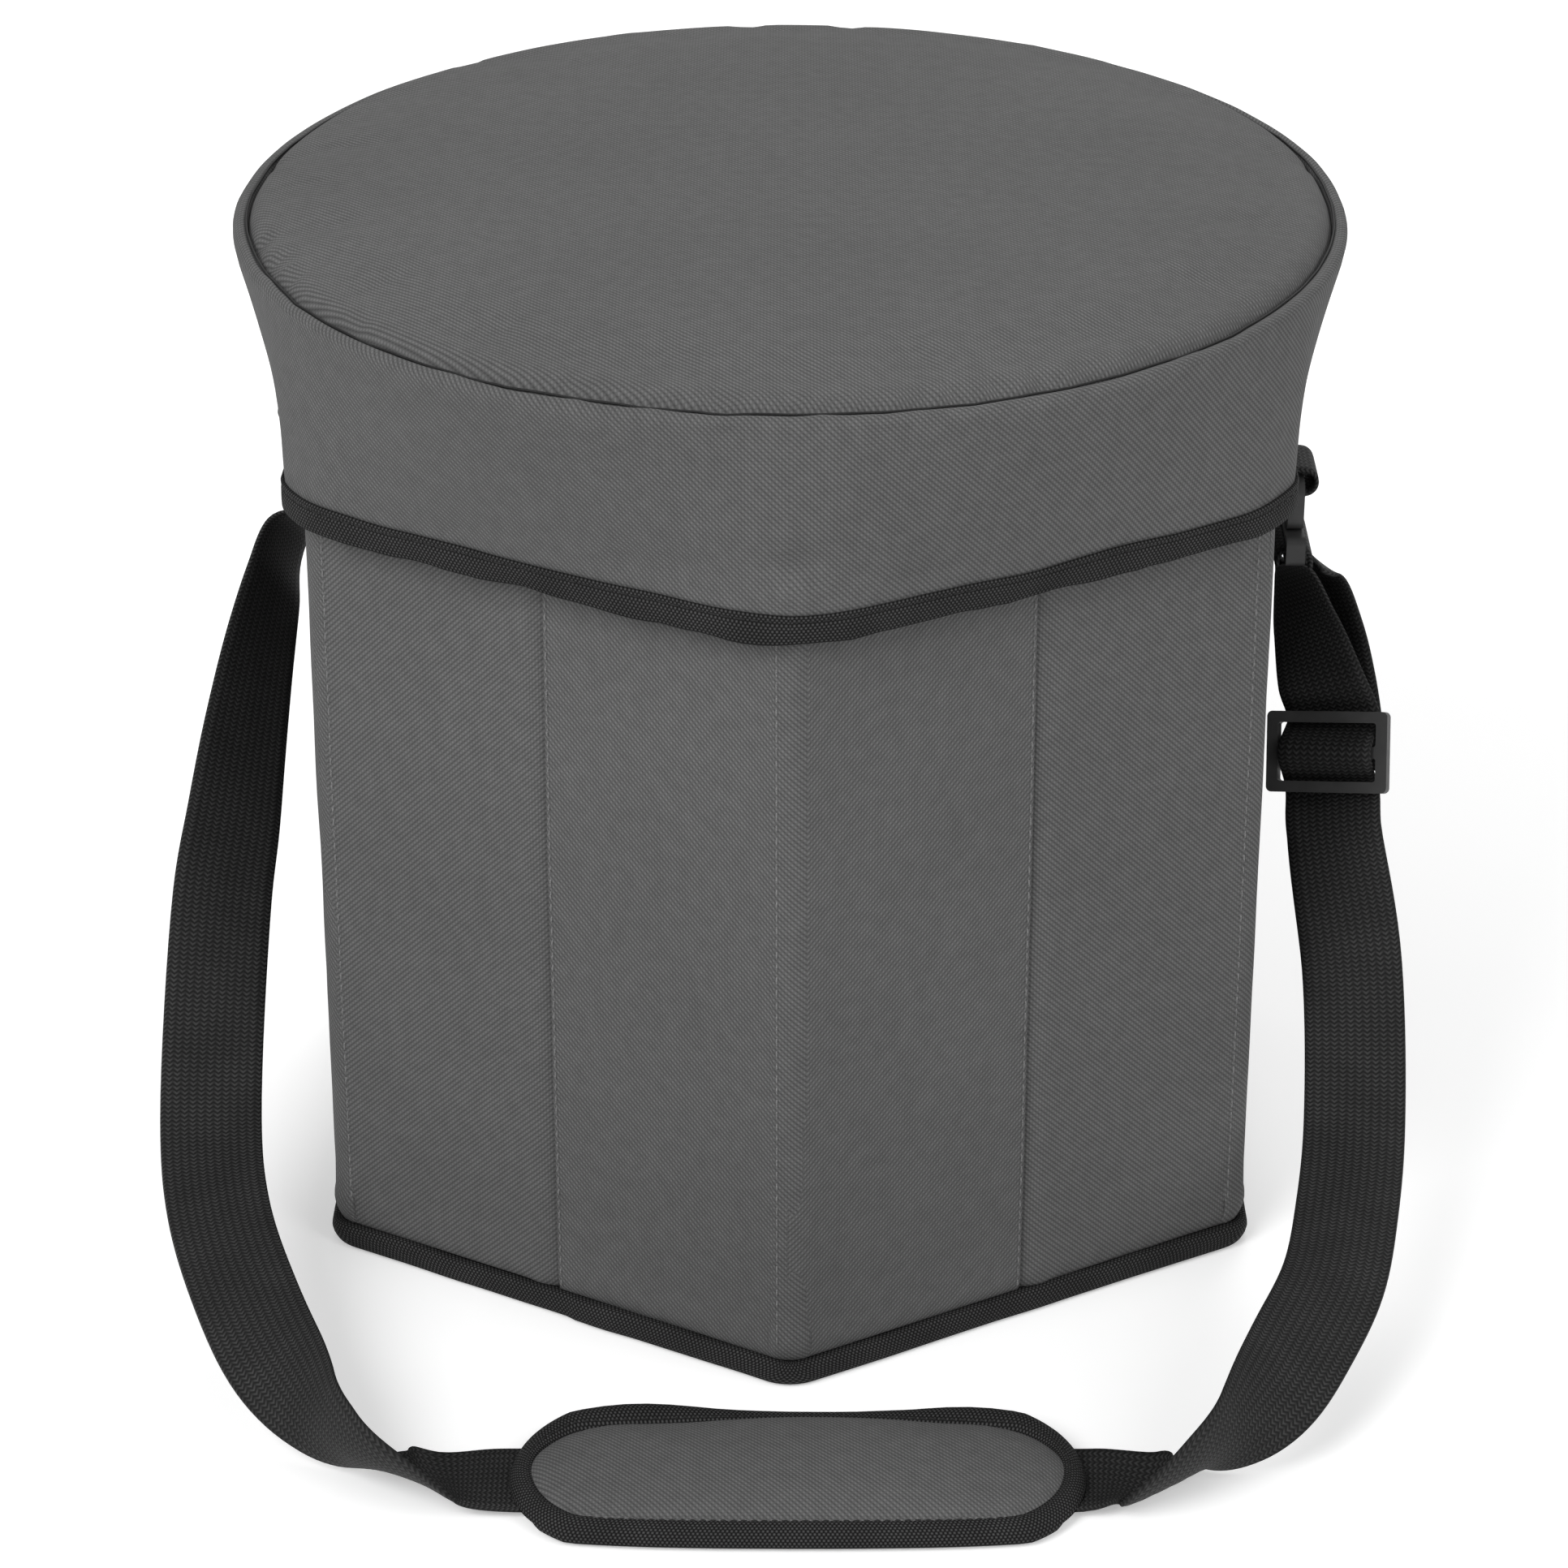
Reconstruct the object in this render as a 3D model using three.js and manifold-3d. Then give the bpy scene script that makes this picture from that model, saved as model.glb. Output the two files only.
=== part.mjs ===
// Folding cooler stool: a six-sided insulated bag with stiff folding walls, a padded round lid that is
// the seat, and a shoulder strap lying in front of it. Millimetres, Z up, floor at z = 0.
// The front corner of the hexagon points to -Y and the strap tabs sit on the walls facing +X and -X.
import * as THREE from 'three';
import { mergeVertices } from 'three/addons/utils/BufferGeometryUtils.js';
import Module from 'manifold-3d';

const wasm = await Module();
wasm.setup();

// Shared clearance
const GAP = 0.3;               // between pieces that touch

// Walls
const SIDE = 168;              // one wall face, also the corner radius of the hexagon
const WALL_TOP = 296;          // height of the wall's top edge
const COVER_T = 1.0;           // outer polyester with its backing
const BOARD_T = 3.0;           // stiffening board in each wall pocket
const LINER_T = 3.0;           // foam-backed inner lining
const SEAM_W = 4;              // cloth left free of board at each fold line
const POCKET_HEM = 3;          // pocket left free of board at the top and bottom

// Floor
const BASE_BINDING_H = 8;      // tape round the foot of the walls
const BASE_BINDING_OUT = 1.6;  // how far that tape stands out from the walls
const BASE_CORNER_R = 7;       // rounding of the tape at the corners
const FLOOR_T = 1.5;           // sewn floor cloth
const BASE_BOARD_T = 3.0;      // loose board that stiffens the floor
const BASE_BOARD_PLAY = 1.0;   // play of that board inside the tape

// Lid
const RIM_OVERHANG = 3;        // how far the seat's seam stands out past a wall corner
const LID_LINER_T = 2.0;       // lining under the lid
const LID_BOARD_T = 5.0;       // seat board
const CORE_INSET = 8;          // how far the seat board and foam end inside the seam
const FOAM_EDGE_H = 17.5;      // foam height at the rim
const FOAM_CROWN = 9;          // rise of the foam from rim to middle
const CROWN_POWER = 12;        // a higher power gives a flatter middle and a steeper rim
const CROWN_SHARES = [0, 0.5, 0.75, 0.87, 0.94, 0.98]; // rings of the crown, as shares of the radius
const FOAM_WAIST = 1.5;        // how far the foam's side is drawn in
const LID_CLOTH_T = 1.2;       // seat cloth and skirt cloth
const RIM_LIP_H = 3.2;         // height of the seat cloth's rolled edge
const HEM_DROP = 41;           // lower edge of the skirt's tape below the wall's top edge
const HEM_TAPE_H = 7.5;        // visible height of that tape
const HEM_TAPE_T = 0.8;        // thickness of that tape
const HEM_PLAY = 1.6;          // room between the hem and a wall corner
const HEM_FACE_PLAY = 7.2;     // room between the hem and the middle of a wall face
const SKIRT_LEVELS = 6;        // rings down the skirt
const ROUND_STEPS = 72;        // steps round the lid

// Strap tabs and hooks
const TAB_W = 20;              // width of the tab's webbing
const TAB_T = 1.6;             // thickness of webbing
const TAB_BELOW_HEM = 23.1;    // the loop's middle below the hem
const TAB_LOOP_PLAY = 2.4;     // room for the hook's bar inside the loop
const TAB_LOOP_L = 14.8;       // straight length of the loop
const TAB_PATCH_UP = 20;       // sewn patch above the loop
const TAB_PATCH_DOWN = 5;      // sewn patch below the loop
const RIGHT_TAB_Y = 5;         // place of each tab along its wall
const LEFT_TAB_Y = 62;
const HOOK_T = 5.0;            // thickness of the hook's ring
const HOOK_BAR = 4.0;          // width of the ring's bars
const HOOK_HOLE_H = 8.5;       // clear height in the ring
const HOOK_HOLE_PLAY = 0.7;    // room beside the tab in the ring
const SLOT_CORNER_R = 0.9;     // rounding inside the ring, the eye and the slider
const GATE_W = 3.4;            // width of the gate's bar
const GATE_H = 4.6;            // length of the gate
const GATE_TIP_PLAY = 0.8;     // room at the gate's tip for its swing
const EYE_T = 6.0;             // thickness of the strap eye
const EYE_BAR = 2.6;           // width of the eye's bars
const EYE_CORNER_R = 2.4;      // rounding of the eye's corners
const EYE_STRAP_LIFT = 1.1;    // room between the strap and the eye's lower bar
const EYE_HEAD_PLAY = 0.6;     // room between the strap and the swivel post's head
const POST_R = 1.6;            // swivel post
const POST_PLAY = 0.35;        // room round the swivel post
const POST_HEAD_R = 2.6;       // head that keeps the post in the eye
const POST_HEAD_H = 1.0;

// Strap, slider and shoulder pad
const STRAP_W = 32;            // width of the shoulder strap's webbing
const STRAP_T = 1.6;           // its thickness
const STRAP_SLOT_PLAY = 0.7;   // room beside the strap in the eye and the slider
const EYE_TURN_PLAY = 1.4;     // room between the eye and each strap layer
const EYE_RUN = 2.5;           // straight run of each layer below the eye
const SLIDER_H = 26;           // height of the slider
const SLIDER_T = 3.0;          // its thickness
const SLIDER_BAR = 3.6;        // width of its three bars
const SLIDER_CORNER_R = 1.8;   // rounding of its corners
const SLIDER_RIM = 3.8;        // width of the slider's end bars
const WEAVE_PLAY = 1.5;        // room between the slider's bars and the strap
const WEAVE_RUN = 2.2;         // the strap lies flat this many bar spacings from the slider's middle
const STRAP_DRIFT = 2.5;       // how far the strap has moved aside below the slider
const TAIL_PLAY = 2.0;         // room between the strap's end and the strap behind the slider
const TAIL_RUN = 1.6;          // the strap's end joins the slider this many bar spacings above it
const PAD_X = 2.5;             // place of the pad's middle
const PAD_Y = -221;
const PAD_L = 172;             // length over the tape
const PAD_W = 74;              // width over the tape
const PAD_ENTRY = 3;           // the strap lies flat this far outside the pad's ends
const PAD_WAIST = 2.0;         // how far the pad's long edges are drawn in
const PAD_BACK_T = 1.4;        // backing under the strap
const PAD_BACK_CHAMFER = 0.5;  // bevel round the backing's lower edge
const PAD_EDGE_T = 2.4;        // cushion thickness under the tape
const PAD_CROWN = 4.5;         // rise of the cushion from its edge
const PAD_CROWN_RINGS = [[2, 0.5], [6, 0.82], [13, 1]]; // distance inside the tape, share of the rise
const PAD_TAPE_W = 6;          // width of the tape over the cushion
const PAD_TAPE_T = 1.1;        // its thickness
const PAD_TAPE_OUT = 2.6;      // how far the tape stands out from the cushion

// Sizes that follow
const DEG = Math.PI / 180;
const APOTHEM = SIDE * Math.cos(30 * DEG);
const BOARD_D = COVER_T + GAP;
const LINER_D = BOARD_D + BOARD_T + GAP;
const WALL_T = LINER_D + LINER_T;
const WALL_FOOT = BASE_BINDING_H + GAP;
const INNER_R = SIDE - WALL_T / Math.cos(30 * DEG);
const RIM_R = SIDE + RIM_OVERHANG;
const LID_CORE_R = RIM_R - CORE_INSET;
const HEM_Z = WALL_TOP - HEM_DROP;
const TAB_LOOP_Z = HEM_Z - TAB_BELOW_HEM;
const TAB_LOOP_H = HOOK_BAR + TAB_LOOP_PLAY;
const EYE_SLOT_H = EYE_STRAP_LIFT + STRAP_T + EYE_HEAD_PLAY + POST_HEAD_H + GAP;
const EYE_TURN = EYE_T / 2 + EYE_TURN_PLAY + STRAP_T / 2;
const WEAVE = SLIDER_T / 2 + WEAVE_PLAY + STRAP_T / 2;
const TAIL_BEHIND = WEAVE + STRAP_T + TAIL_PLAY;

// Finishes read from the photograph
const FINISH = {
  cloth: { color: 0x5f5f5f, roughness: 0.92, metalness: 0 },
  tape: { color: 0x2c2c2c, roughness: 0.85, metalness: 0 },
  webbing: { color: 0x1f1f1f, roughness: 0.8, metalness: 0 },
  plastic: { color: 0x2b2b2b, roughness: 0.45, metalness: 0 },
  board: { color: 0x4a4744, roughness: 0.8, metalness: 0 },
  lining: { color: 0xc4c8cc, roughness: 0.35, metalness: 0.2 },
  foam: { color: 0xd9d6cc, roughness: 0.95, metalness: 0 },
};

const stool = new THREE.Group();

// Merge shared vertices and turn the faces outwards
function outward(geometry) {
  const bare = geometry.clone();
  bare.deleteAttribute('normal');
  bare.deleteAttribute('uv');
  const merged = mergeVertices(bare, 1e-4);
  const p = merged.getAttribute('position');
  const index = Array.from(merged.getIndex().array);
  const a = new THREE.Vector3();
  const b = new THREE.Vector3();
  const c = new THREE.Vector3();
  const kept = [];
  let volume = 0;
  for (let i = 0; i < index.length; i += 3) {
    const [u, v, w] = index.slice(i, i + 3);
    if (u === v || v === w || w === u) continue;
    kept.push(u, v, w);
    a.fromBufferAttribute(p, u);
    b.fromBufferAttribute(p, v);
    c.fromBufferAttribute(p, w);
    volume += a.dot(b.cross(c));
  }
  if (volume < 0) kept.reverse();
  merged.setIndex(kept);
  return merged;
}

function piece(name, geometry, finish, parent = stool) {
  const shape = outward(geometry);
  shape.computeVertexNormals();
  const mesh = new THREE.Mesh(shape, new THREE.MeshStandardMaterial(FINISH[finish]));
  mesh.name = name;
  parent.add(mesh);
  return mesh;
}

// Booleans
function manifold(geometry) {
  const g = outward(geometry);
  const vertProperties = new Float32Array(g.getAttribute('position').array);
  const triVerts = new Uint32Array(g.getIndex().array);
  return new wasm.Manifold(new wasm.Mesh({ numProp: 3, vertProperties, triVerts }));
}

function geometryOf(solid) {
  const mesh = solid.getMesh();
  const g = new THREE.BufferGeometry();
  g.setAttribute('position', new THREE.BufferAttribute(new Float32Array(mesh.vertProperties), 3));
  g.setIndex(Array.from(mesh.triVerts));
  return g;
}

// A skin over rows of points: each row is a closed loop with the same number of points.
// The rows either close on each other or end in flat caps.
function skin(rows, closed) {
  const n = rows[0].length;
  const points = rows.flat();
  const index = [];
  const spans = closed ? rows.length : rows.length - 1;
  for (let i = 0; i < spans; i += 1) {
    const next = (i + 1) % rows.length;
    for (let k = 0; k < n; k += 1) {
      const a = i * n + k;
      const b = i * n + ((k + 1) % n);
      const c = next * n + ((k + 1) % n);
      const d = next * n + k;
      index.push(a, b, c, a, c, d);
    }
  }
  if (!closed) {
    for (const [row, turn] of [[0, true], [rows.length - 1, false]]) {
      const middle = new THREE.Vector3();
      for (const q of rows[row]) middle.addScaledVector(new THREE.Vector3(...q), 1 / n);
      points.push(middle.toArray());
      for (let k = 0; k < n; k += 1) {
        const a = row * n + k;
        const b = row * n + ((k + 1) % n);
        if (turn) index.push(b, a, points.length - 1);
        else index.push(a, b, points.length - 1);
      }
    }
  }
  const g = new THREE.BufferGeometry();
  g.setAttribute('position', new THREE.Float32BufferAttribute(points.flat(), 3));
  g.setIndex(index);
  return g;
}

function upright(shape, height) {
  return new THREE.ExtrudeGeometry(shape, { depth: height, bevelEnabled: false, curveSegments: 6 });
}

function lathe(profile) {
  const points = profile.map(([r, z]) => new THREE.Vector2(r, z));
  return new THREE.LatheGeometry(points, ROUND_STEPS).rotateX(Math.PI / 2);
}

function polygon(points) {
  return new THREE.Shape(points.map(([x, y]) => new THREE.Vector2(x, y)));
}

// Wall panels. A face is drawn in its own frame: x outwards from the stool's axis, y along the face.
// Each panel runs along the face from one corner or the middle seam to the other.
function mitre(depth) {
  return SIDE / 2 - depth * Math.tan(30 * DEG) - GAP / 2 / Math.cos(30 * DEG);
}

function clothPlan(half, depth, thickness) {
  const outer = APOTHEM - depth;
  const inner = outer - thickness;
  const outerEnd = mitre(depth);
  const innerEnd = mitre(depth + thickness);
  if (half === 0) {
    return [[outer, -outerEnd], [outer, outerEnd], [inner, innerEnd], [inner, -innerEnd]];
  }
  const seam = GAP / 2;
  return [[outer, half * seam], [outer, half * outerEnd], [inner, half * innerEnd], [inner, half * seam]];
}

function boardPlan(half) {
  const outer = APOTHEM - BOARD_D;
  const inner = outer - BOARD_T;
  const seam = SEAM_W / 2;
  const end = mitre(BOARD_D + BOARD_T) - SEAM_W / 2;
  return [[outer, half * seam], [outer, half * end], [inner, half * end], [inner, half * seam]];
}

function wallPanel(name, faceAngle, half) {
  const face = new THREE.Group();
  face.rotation.z = faceAngle * DEG;
  stool.add(face);
  const height = WALL_TOP - WALL_FOOT;
  const cover = piece(`cover_${name}`, upright(polygon(clothPlan(half, 0, COVER_T)), height), 'cloth', face);
  const lining = upright(polygon(clothPlan(half, LINER_D, LINER_T)), height);
  const liner = piece(`liner_${name}`, lining, 'lining', face);
  cover.position.z = WALL_FOOT;
  liner.position.z = WALL_FOOT;
  const boards = half === 0 ? [[1, `board_${name}_1`], [-1, `board_${name}_2`]] : [[half, `board_${name}`]];
  for (const [side, boardName] of boards) {
    const stiffener = upright(polygon(boardPlan(side)), height - 2 * POCKET_HEM);
    const board = piece(boardName, stiffener, 'board', face);
    board.position.z = WALL_FOOT + POCKET_HEM;
  }
}

function walls() {
  wallPanel('right', 0, 0);
  wallPanel('left', 180, 0);
  wallPanel('front_right_1', -60, 1);
  wallPanel('front_right_2', -60, -1);
  wallPanel('front_left_1', -120, -1);
  wallPanel('front_left_2', -120, 1);
  wallPanel('back_right_1', 60, -1);
  wallPanel('back_right_2', 60, 1);
  wallPanel('back_left_1', 120, 1);
  wallPanel('back_left_2', 120, -1);
}

// Floor
function hexagon(cornerRadius, rounding) {
  const outline = new THREE.Shape();
  for (let k = 0; k < 6; k += 1) {
    const angle = (-90 + 60 * k) * DEG;
    const r = cornerRadius - rounding / Math.cos(30 * DEG);
    if (rounding > 0) {
      const x = r * Math.cos(angle);
      const y = r * Math.sin(angle);
      outline.absarc(x, y, rounding, angle - 30 * DEG, angle + 30 * DEG, false);
    } else if (k === 0) {
      outline.moveTo(r * Math.cos(angle), r * Math.sin(angle));
    } else {
      outline.lineTo(r * Math.cos(angle), r * Math.sin(angle));
    }
  }
  outline.closePath();
  return outline;
}

function base() {
  const tape = hexagon(SIDE + BASE_BINDING_OUT / Math.cos(30 * DEG), BASE_CORNER_R);
  tape.holes.push(hexagon(INNER_R, 0));
  piece('base_binding', upright(tape, BASE_BINDING_H), 'tape');
  piece('floor_cloth', upright(hexagon(INNER_R - GAP / Math.cos(30 * DEG), 0), FLOOR_T), 'cloth');
  const loose = upright(hexagon(INNER_R - BASE_BOARD_PLAY / Math.cos(30 * DEG), 0), BASE_BOARD_T);
  const board = piece('base_board', loose, 'board');
  board.position.z = FLOOR_T + GAP;
}

// Lid
const LID_LINER_Z = WALL_TOP + GAP;
const LID_BOARD_Z = LID_LINER_Z + LID_LINER_T + GAP;
const FOAM_Z = LID_BOARD_Z + LID_BOARD_T + GAP;
const FOAM_RIM_Z = FOAM_Z + FOAM_EDGE_H;
const CLOTH_RIM_Z = FOAM_RIM_Z + GAP;
const SKIRT_TOP = CLOTH_RIM_Z + LID_CLOTH_T - RIM_LIP_H - GAP;
const HEM_CLOTH_Z = HEM_Z + HEM_TAPE_T + GAP;

// Height of the padded crown above its rim at a share of the radius
function crown(share) {
  return FOAM_CROWN * (1 - share ** CROWN_POWER);
}

// Radius of a hexagon whose corners are rounded until they reach only to the given corner radius
function roundHexRadius(angle, apothem, cornerRadius) {
  const fromCorner = (((angle + 90 * DEG) % (60 * DEG)) + 60 * DEG) % (60 * DEG);
  const fromFace = Math.abs(fromCorner - 30 * DEG);
  const sharp = apothem / Math.cos(30 * DEG);
  const rounding = (sharp - cornerRadius) / (1 / Math.cos(30 * DEG) - 1);
  if (apothem * Math.tan(fromFace) <= (apothem - rounding) * Math.tan(30 * DEG)) {
    return apothem / Math.cos(fromFace);
  }
  const arcMiddle = cornerRadius - rounding;
  const turn = 30 * DEG - fromFace;
  return arcMiddle * Math.cos(turn) + Math.sqrt(rounding ** 2 - (arcMiddle * Math.sin(turn)) ** 2);
}

// Outside radius of the skirt: round at the rim, a rounded hexagon at the hem
function skirtRadius(angle, z) {
  const hem = roundHexRadius(angle, APOTHEM + HEM_FACE_PLAY, SIDE + HEM_PLAY) + LID_CLOTH_T;
  const share = THREE.MathUtils.clamp((SKIRT_TOP - z) / (SKIRT_TOP - HEM_CLOTH_Z), 0, 1);
  return THREE.MathUtils.lerp(RIM_R, hem, share);
}

function around(sectionAt) {
  const rows = [];
  for (let k = 0; k < ROUND_STEPS; k += 1) {
    const angle = (-90 + (360 * k) / ROUND_STEPS) * DEG;
    rows.push(sectionAt(angle).map(([r, z]) => [r * Math.cos(angle), r * Math.sin(angle), z]));
  }
  return skin(rows, true);
}

function skirtSection(angle) {
  const outer = [];
  const inner = [];
  for (let i = 0; i < SKIRT_LEVELS; i += 1) {
    const z = THREE.MathUtils.lerp(SKIRT_TOP, HEM_CLOTH_Z, i / (SKIRT_LEVELS - 1));
    outer.push([skirtRadius(angle, z), z]);
    inner.unshift([skirtRadius(angle, z) - LID_CLOTH_T, z]);
  }
  return outer.concat(inner);
}

// The hem tape is folded over the skirt's lower edge
function hemSection(angle) {
  const top = HEM_Z + HEM_TAPE_H;
  const clear = LID_CLOTH_T + GAP;
  const low = skirtRadius(angle, HEM_CLOTH_Z);
  const high = skirtRadius(angle, top);
  return [
    [low + GAP + HEM_TAPE_T, HEM_Z],
    [high + GAP + HEM_TAPE_T, top],
    [high + GAP, top],
    [low + GAP, HEM_CLOTH_Z - GAP],
    [low - clear, HEM_CLOTH_Z - GAP],
    [high - clear, top],
    [high - clear - HEM_TAPE_T, top],
    [low - clear - HEM_TAPE_T, HEM_Z],
  ];
}

function lid() {
  const core = LID_CORE_R;
  piece('lid_liner', lathe([[0, LID_LINER_Z], [core, LID_LINER_Z], [core, LID_LINER_Z + LID_LINER_T],
    [0, LID_LINER_Z + LID_LINER_T]]), 'lining');
  piece('lid_board', lathe([[0, LID_BOARD_Z], [core, LID_BOARD_Z], [core, LID_BOARD_Z + LID_BOARD_T],
    [0, LID_BOARD_Z + LID_BOARD_T]]), 'board');
  const foamTop = CROWN_SHARES.map((s) => [s * core, FOAM_RIM_Z + crown(s)]);
  const waist = [core - FOAM_WAIST, (FOAM_Z + FOAM_RIM_Z) / 2];
  piece('lid_foam', lathe([[0, FOAM_Z], [core, FOAM_Z], waist, [core, FOAM_RIM_Z],
    ...foamTop.reverse()]), 'foam');
  const under = CROWN_SHARES.map((s) => [s * core, CLOTH_RIM_Z + crown(s)]);
  const over = under.map(([r, z]) => [r, z + LID_CLOTH_T]).reverse();
  const lipZ = CLOTH_RIM_Z + LID_CLOTH_T;
  const innerRim = RIM_R - 2 * LID_CLOTH_T;
  const rolledEdge = [
    [innerRim, CLOTH_RIM_Z],
    [innerRim, lipZ - RIM_LIP_H],
    [RIM_R, lipZ - RIM_LIP_H],
    [RIM_R, lipZ - RIM_LIP_H / 3],
    [RIM_R - LID_CLOTH_T, lipZ],
  ];
  piece('lid_top', lathe([...under, ...rolledEdge, ...over]), 'cloth');
  piece('lid_skirt', around(skirtSection), 'cloth');
  piece('hem_binding', around(hemSection), 'tape');
}

// Strap tabs: a sewn patch on the wall with a loop standing out from it
const PATCH_X = APOTHEM + GAP;
const LOOP_X = PATCH_X + TAB_T;
const LOOP_END_X = LOOP_X + TAB_LOOP_L;
const LOOP_R = TAB_LOOP_H / 2;

function tabGeometry() {
  const r = LOOP_R + TAB_T;
  const outline = new THREE.Shape();
  outline.moveTo(PATCH_X, TAB_LOOP_Z - r - TAB_PATCH_DOWN);
  outline.lineTo(LOOP_X, TAB_LOOP_Z - r - TAB_PATCH_DOWN);
  outline.lineTo(LOOP_X, TAB_LOOP_Z - r);
  outline.absarc(LOOP_END_X, TAB_LOOP_Z, r, -90 * DEG, 90 * DEG, false);
  outline.lineTo(LOOP_X, TAB_LOOP_Z + r);
  outline.lineTo(LOOP_X, TAB_LOOP_Z + r + TAB_PATCH_UP);
  outline.lineTo(PATCH_X, TAB_LOOP_Z + r + TAB_PATCH_UP);
  outline.closePath();
  const hole = new THREE.Path();
  hole.absarc(LOOP_END_X, TAB_LOOP_Z, LOOP_R, -90 * DEG, 90 * DEG, false);
  hole.absarc(LOOP_X + TAB_T + LOOP_R, TAB_LOOP_Z, LOOP_R, 90 * DEG, 270 * DEG, false);
  hole.closePath();
  outline.holes.push(hole);
  return upright(outline, TAB_W).rotateX(Math.PI / 2).translate(0, TAB_W / 2, 0);
}

// Hook: a ring through the tab's loop with a sprung gate in one side, a swivel post and a strap eye.
// Drawn flat with x along the tab's width and y up, then stood up across the tab.
const HOOK_X = LOOP_END_X - HOOK_T / 2;
const HOOK_HOLE_W = TAB_W + 2 * HOOK_HOLE_PLAY;
const HOOK_HOLE_TOP = TAB_LOOP_Z - LOOP_R + 2 * GAP;
const HOOK_HOLE_LOW = HOOK_HOLE_TOP - HOOK_HOLE_H;
const HOOK_LOW = HOOK_HOLE_LOW - HOOK_BAR;
const EYE_TOP = HOOK_LOW - GAP;
const EYE_SLOT_TOP = EYE_TOP - EYE_BAR;
const EYE_SLOT_LOW = EYE_SLOT_TOP - EYE_SLOT_H;
const EYE_LOW = EYE_SLOT_LOW - EYE_BAR;
const GATE_MID = HOOK_HOLE_W / 2 + HOOK_BAR / 2;
const GATE_LOW = HOOK_HOLE_LOW + 2 * GAP;

function roundedBox(halfWidth, low, high, r) {
  const outline = new THREE.Shape();
  outline.absarc(halfWidth - r, low + r, r, -90 * DEG, 0, false);
  outline.absarc(halfWidth - r, high - r, r, 0, 90 * DEG, false);
  outline.absarc(-halfWidth + r, high - r, r, 90 * DEG, 180 * DEG, false);
  outline.absarc(-halfWidth + r, low + r, r, 180 * DEG, 270 * DEG, false);
  outline.closePath();
  return outline;
}

function slab(outline, thickness) {
  return upright(outline, thickness).translate(0, 0, -thickness / 2);
}

function post(radius, low, high) {
  return new THREE.CylinderGeometry(radius, radius, high - low, 20).translate(0, (low + high) / 2, 0);
}

function hookBody() {
  const halfWidth = HOOK_HOLE_W / 2 + HOOK_BAR;
  const ring = roundedBox(halfWidth, HOOK_LOW, HOOK_HOLE_TOP + HOOK_BAR, HOOK_BAR);
  ring.holes.push(roundedBox(HOOK_HOLE_W / 2, HOOK_HOLE_LOW, HOOK_HOLE_TOP, SLOT_CORNER_R));
  const mouthLow = GATE_LOW - GAP;
  const mouthHigh = GATE_LOW + GATE_H + GATE_TIP_PLAY;
  const mouth = new THREE.BoxGeometry(HOOK_BAR + 2 * GAP, mouthHigh - mouthLow, 2 * HOOK_T);
  mouth.translate(GATE_MID, (mouthLow + mouthHigh) / 2, 0);
  const headLow = EYE_SLOT_TOP - GAP - POST_HEAD_H;
  const swivel = manifold(post(POST_R, headLow, HOOK_LOW + HOOK_BAR / 2));
  const head = manifold(post(POST_HEAD_R, headLow, headLow + POST_HEAD_H));
  return geometryOf(manifold(slab(ring, HOOK_T)).subtract(manifold(mouth)).add(swivel).add(head));
}

function hookGate() {
  const r = GATE_W / 2;
  const outline = new THREE.Shape();
  outline.absarc(GATE_MID, GATE_LOW + r, r, 180 * DEG, 360 * DEG, false);
  outline.lineTo(GATE_MID + r, GATE_LOW + GATE_H);
  outline.lineTo(GATE_MID - r, GATE_LOW + GATE_H);
  outline.closePath();
  return slab(outline, HOOK_T - 2 * GAP);
}

function hookEye() {
  const halfSlot = STRAP_W / 2 + STRAP_SLOT_PLAY;
  const frame = roundedBox(halfSlot + EYE_BAR, EYE_LOW, EYE_TOP, EYE_CORNER_R);
  frame.holes.push(roundedBox(halfSlot, EYE_SLOT_LOW, EYE_SLOT_TOP, SLOT_CORNER_R));
  const bore = post(POST_R + POST_PLAY, EYE_SLOT_TOP - GAP, EYE_TOP + GAP);
  return geometryOf(manifold(slab(frame, EYE_T)).subtract(manifold(bore)));
}

// Stand a flat drawing up in the plane facing +X
function acrossTab(geometry) {
  return geometry.rotateX(Math.PI / 2).rotateZ(Math.PI / 2);
}

function tabAndHook(side, turn, tabY) {
  const place = new THREE.Group();
  place.rotation.z = turn * DEG;
  place.position.y = tabY;
  stool.add(place);
  piece(`tab_${side}`, tabGeometry(), 'webbing', place);
  const parts = [['hook', hookBody()], ['hook_gate', hookGate()], ['hook_eye', hookEye()]];
  for (const [name, geometry] of parts) {
    const mesh = piece(`${name}_${side}`, acrossTab(geometry), 'plastic', place);
    mesh.position.x = HOOK_X;
  }
}

// Strap route: each stop has a place and the direction of the webbing's width.
// The stops from the slider or the left eye to the shoulder pad are chosen by eye from the photograph.
function stop(x, y, z, across) {
  return { at: new THREE.Vector3(x, y, z), across: new THREE.Vector3(...across).normalize() };
}

const SLIDER_AT = new THREE.Vector3(172, -25, 147);
const SLIDER_DOWN = new THREE.Vector3(-0.02, -0.451, -0.881).normalize();
const SLIDER_ACROSS = new THREE.Vector3(0.85, -0.5, 0).normalize();
SLIDER_ACROSS.addScaledVector(SLIDER_DOWN, -SLIDER_ACROSS.dot(SLIDER_DOWN)).normalize();
const SLIDER_FRONT = new THREE.Vector3().crossVectors(SLIDER_DOWN, SLIDER_ACROSS);

const STRAP_Z_IN_PAD = GAP + PAD_BACK_T + GAP + STRAP_T / 2;

const RIGHT_DROP = [
  stop(158.5, 2, 190, [0.25, -0.97, 0]),
  stop(164, -5, 179, [0.6, -0.8, 0]),
];

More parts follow.
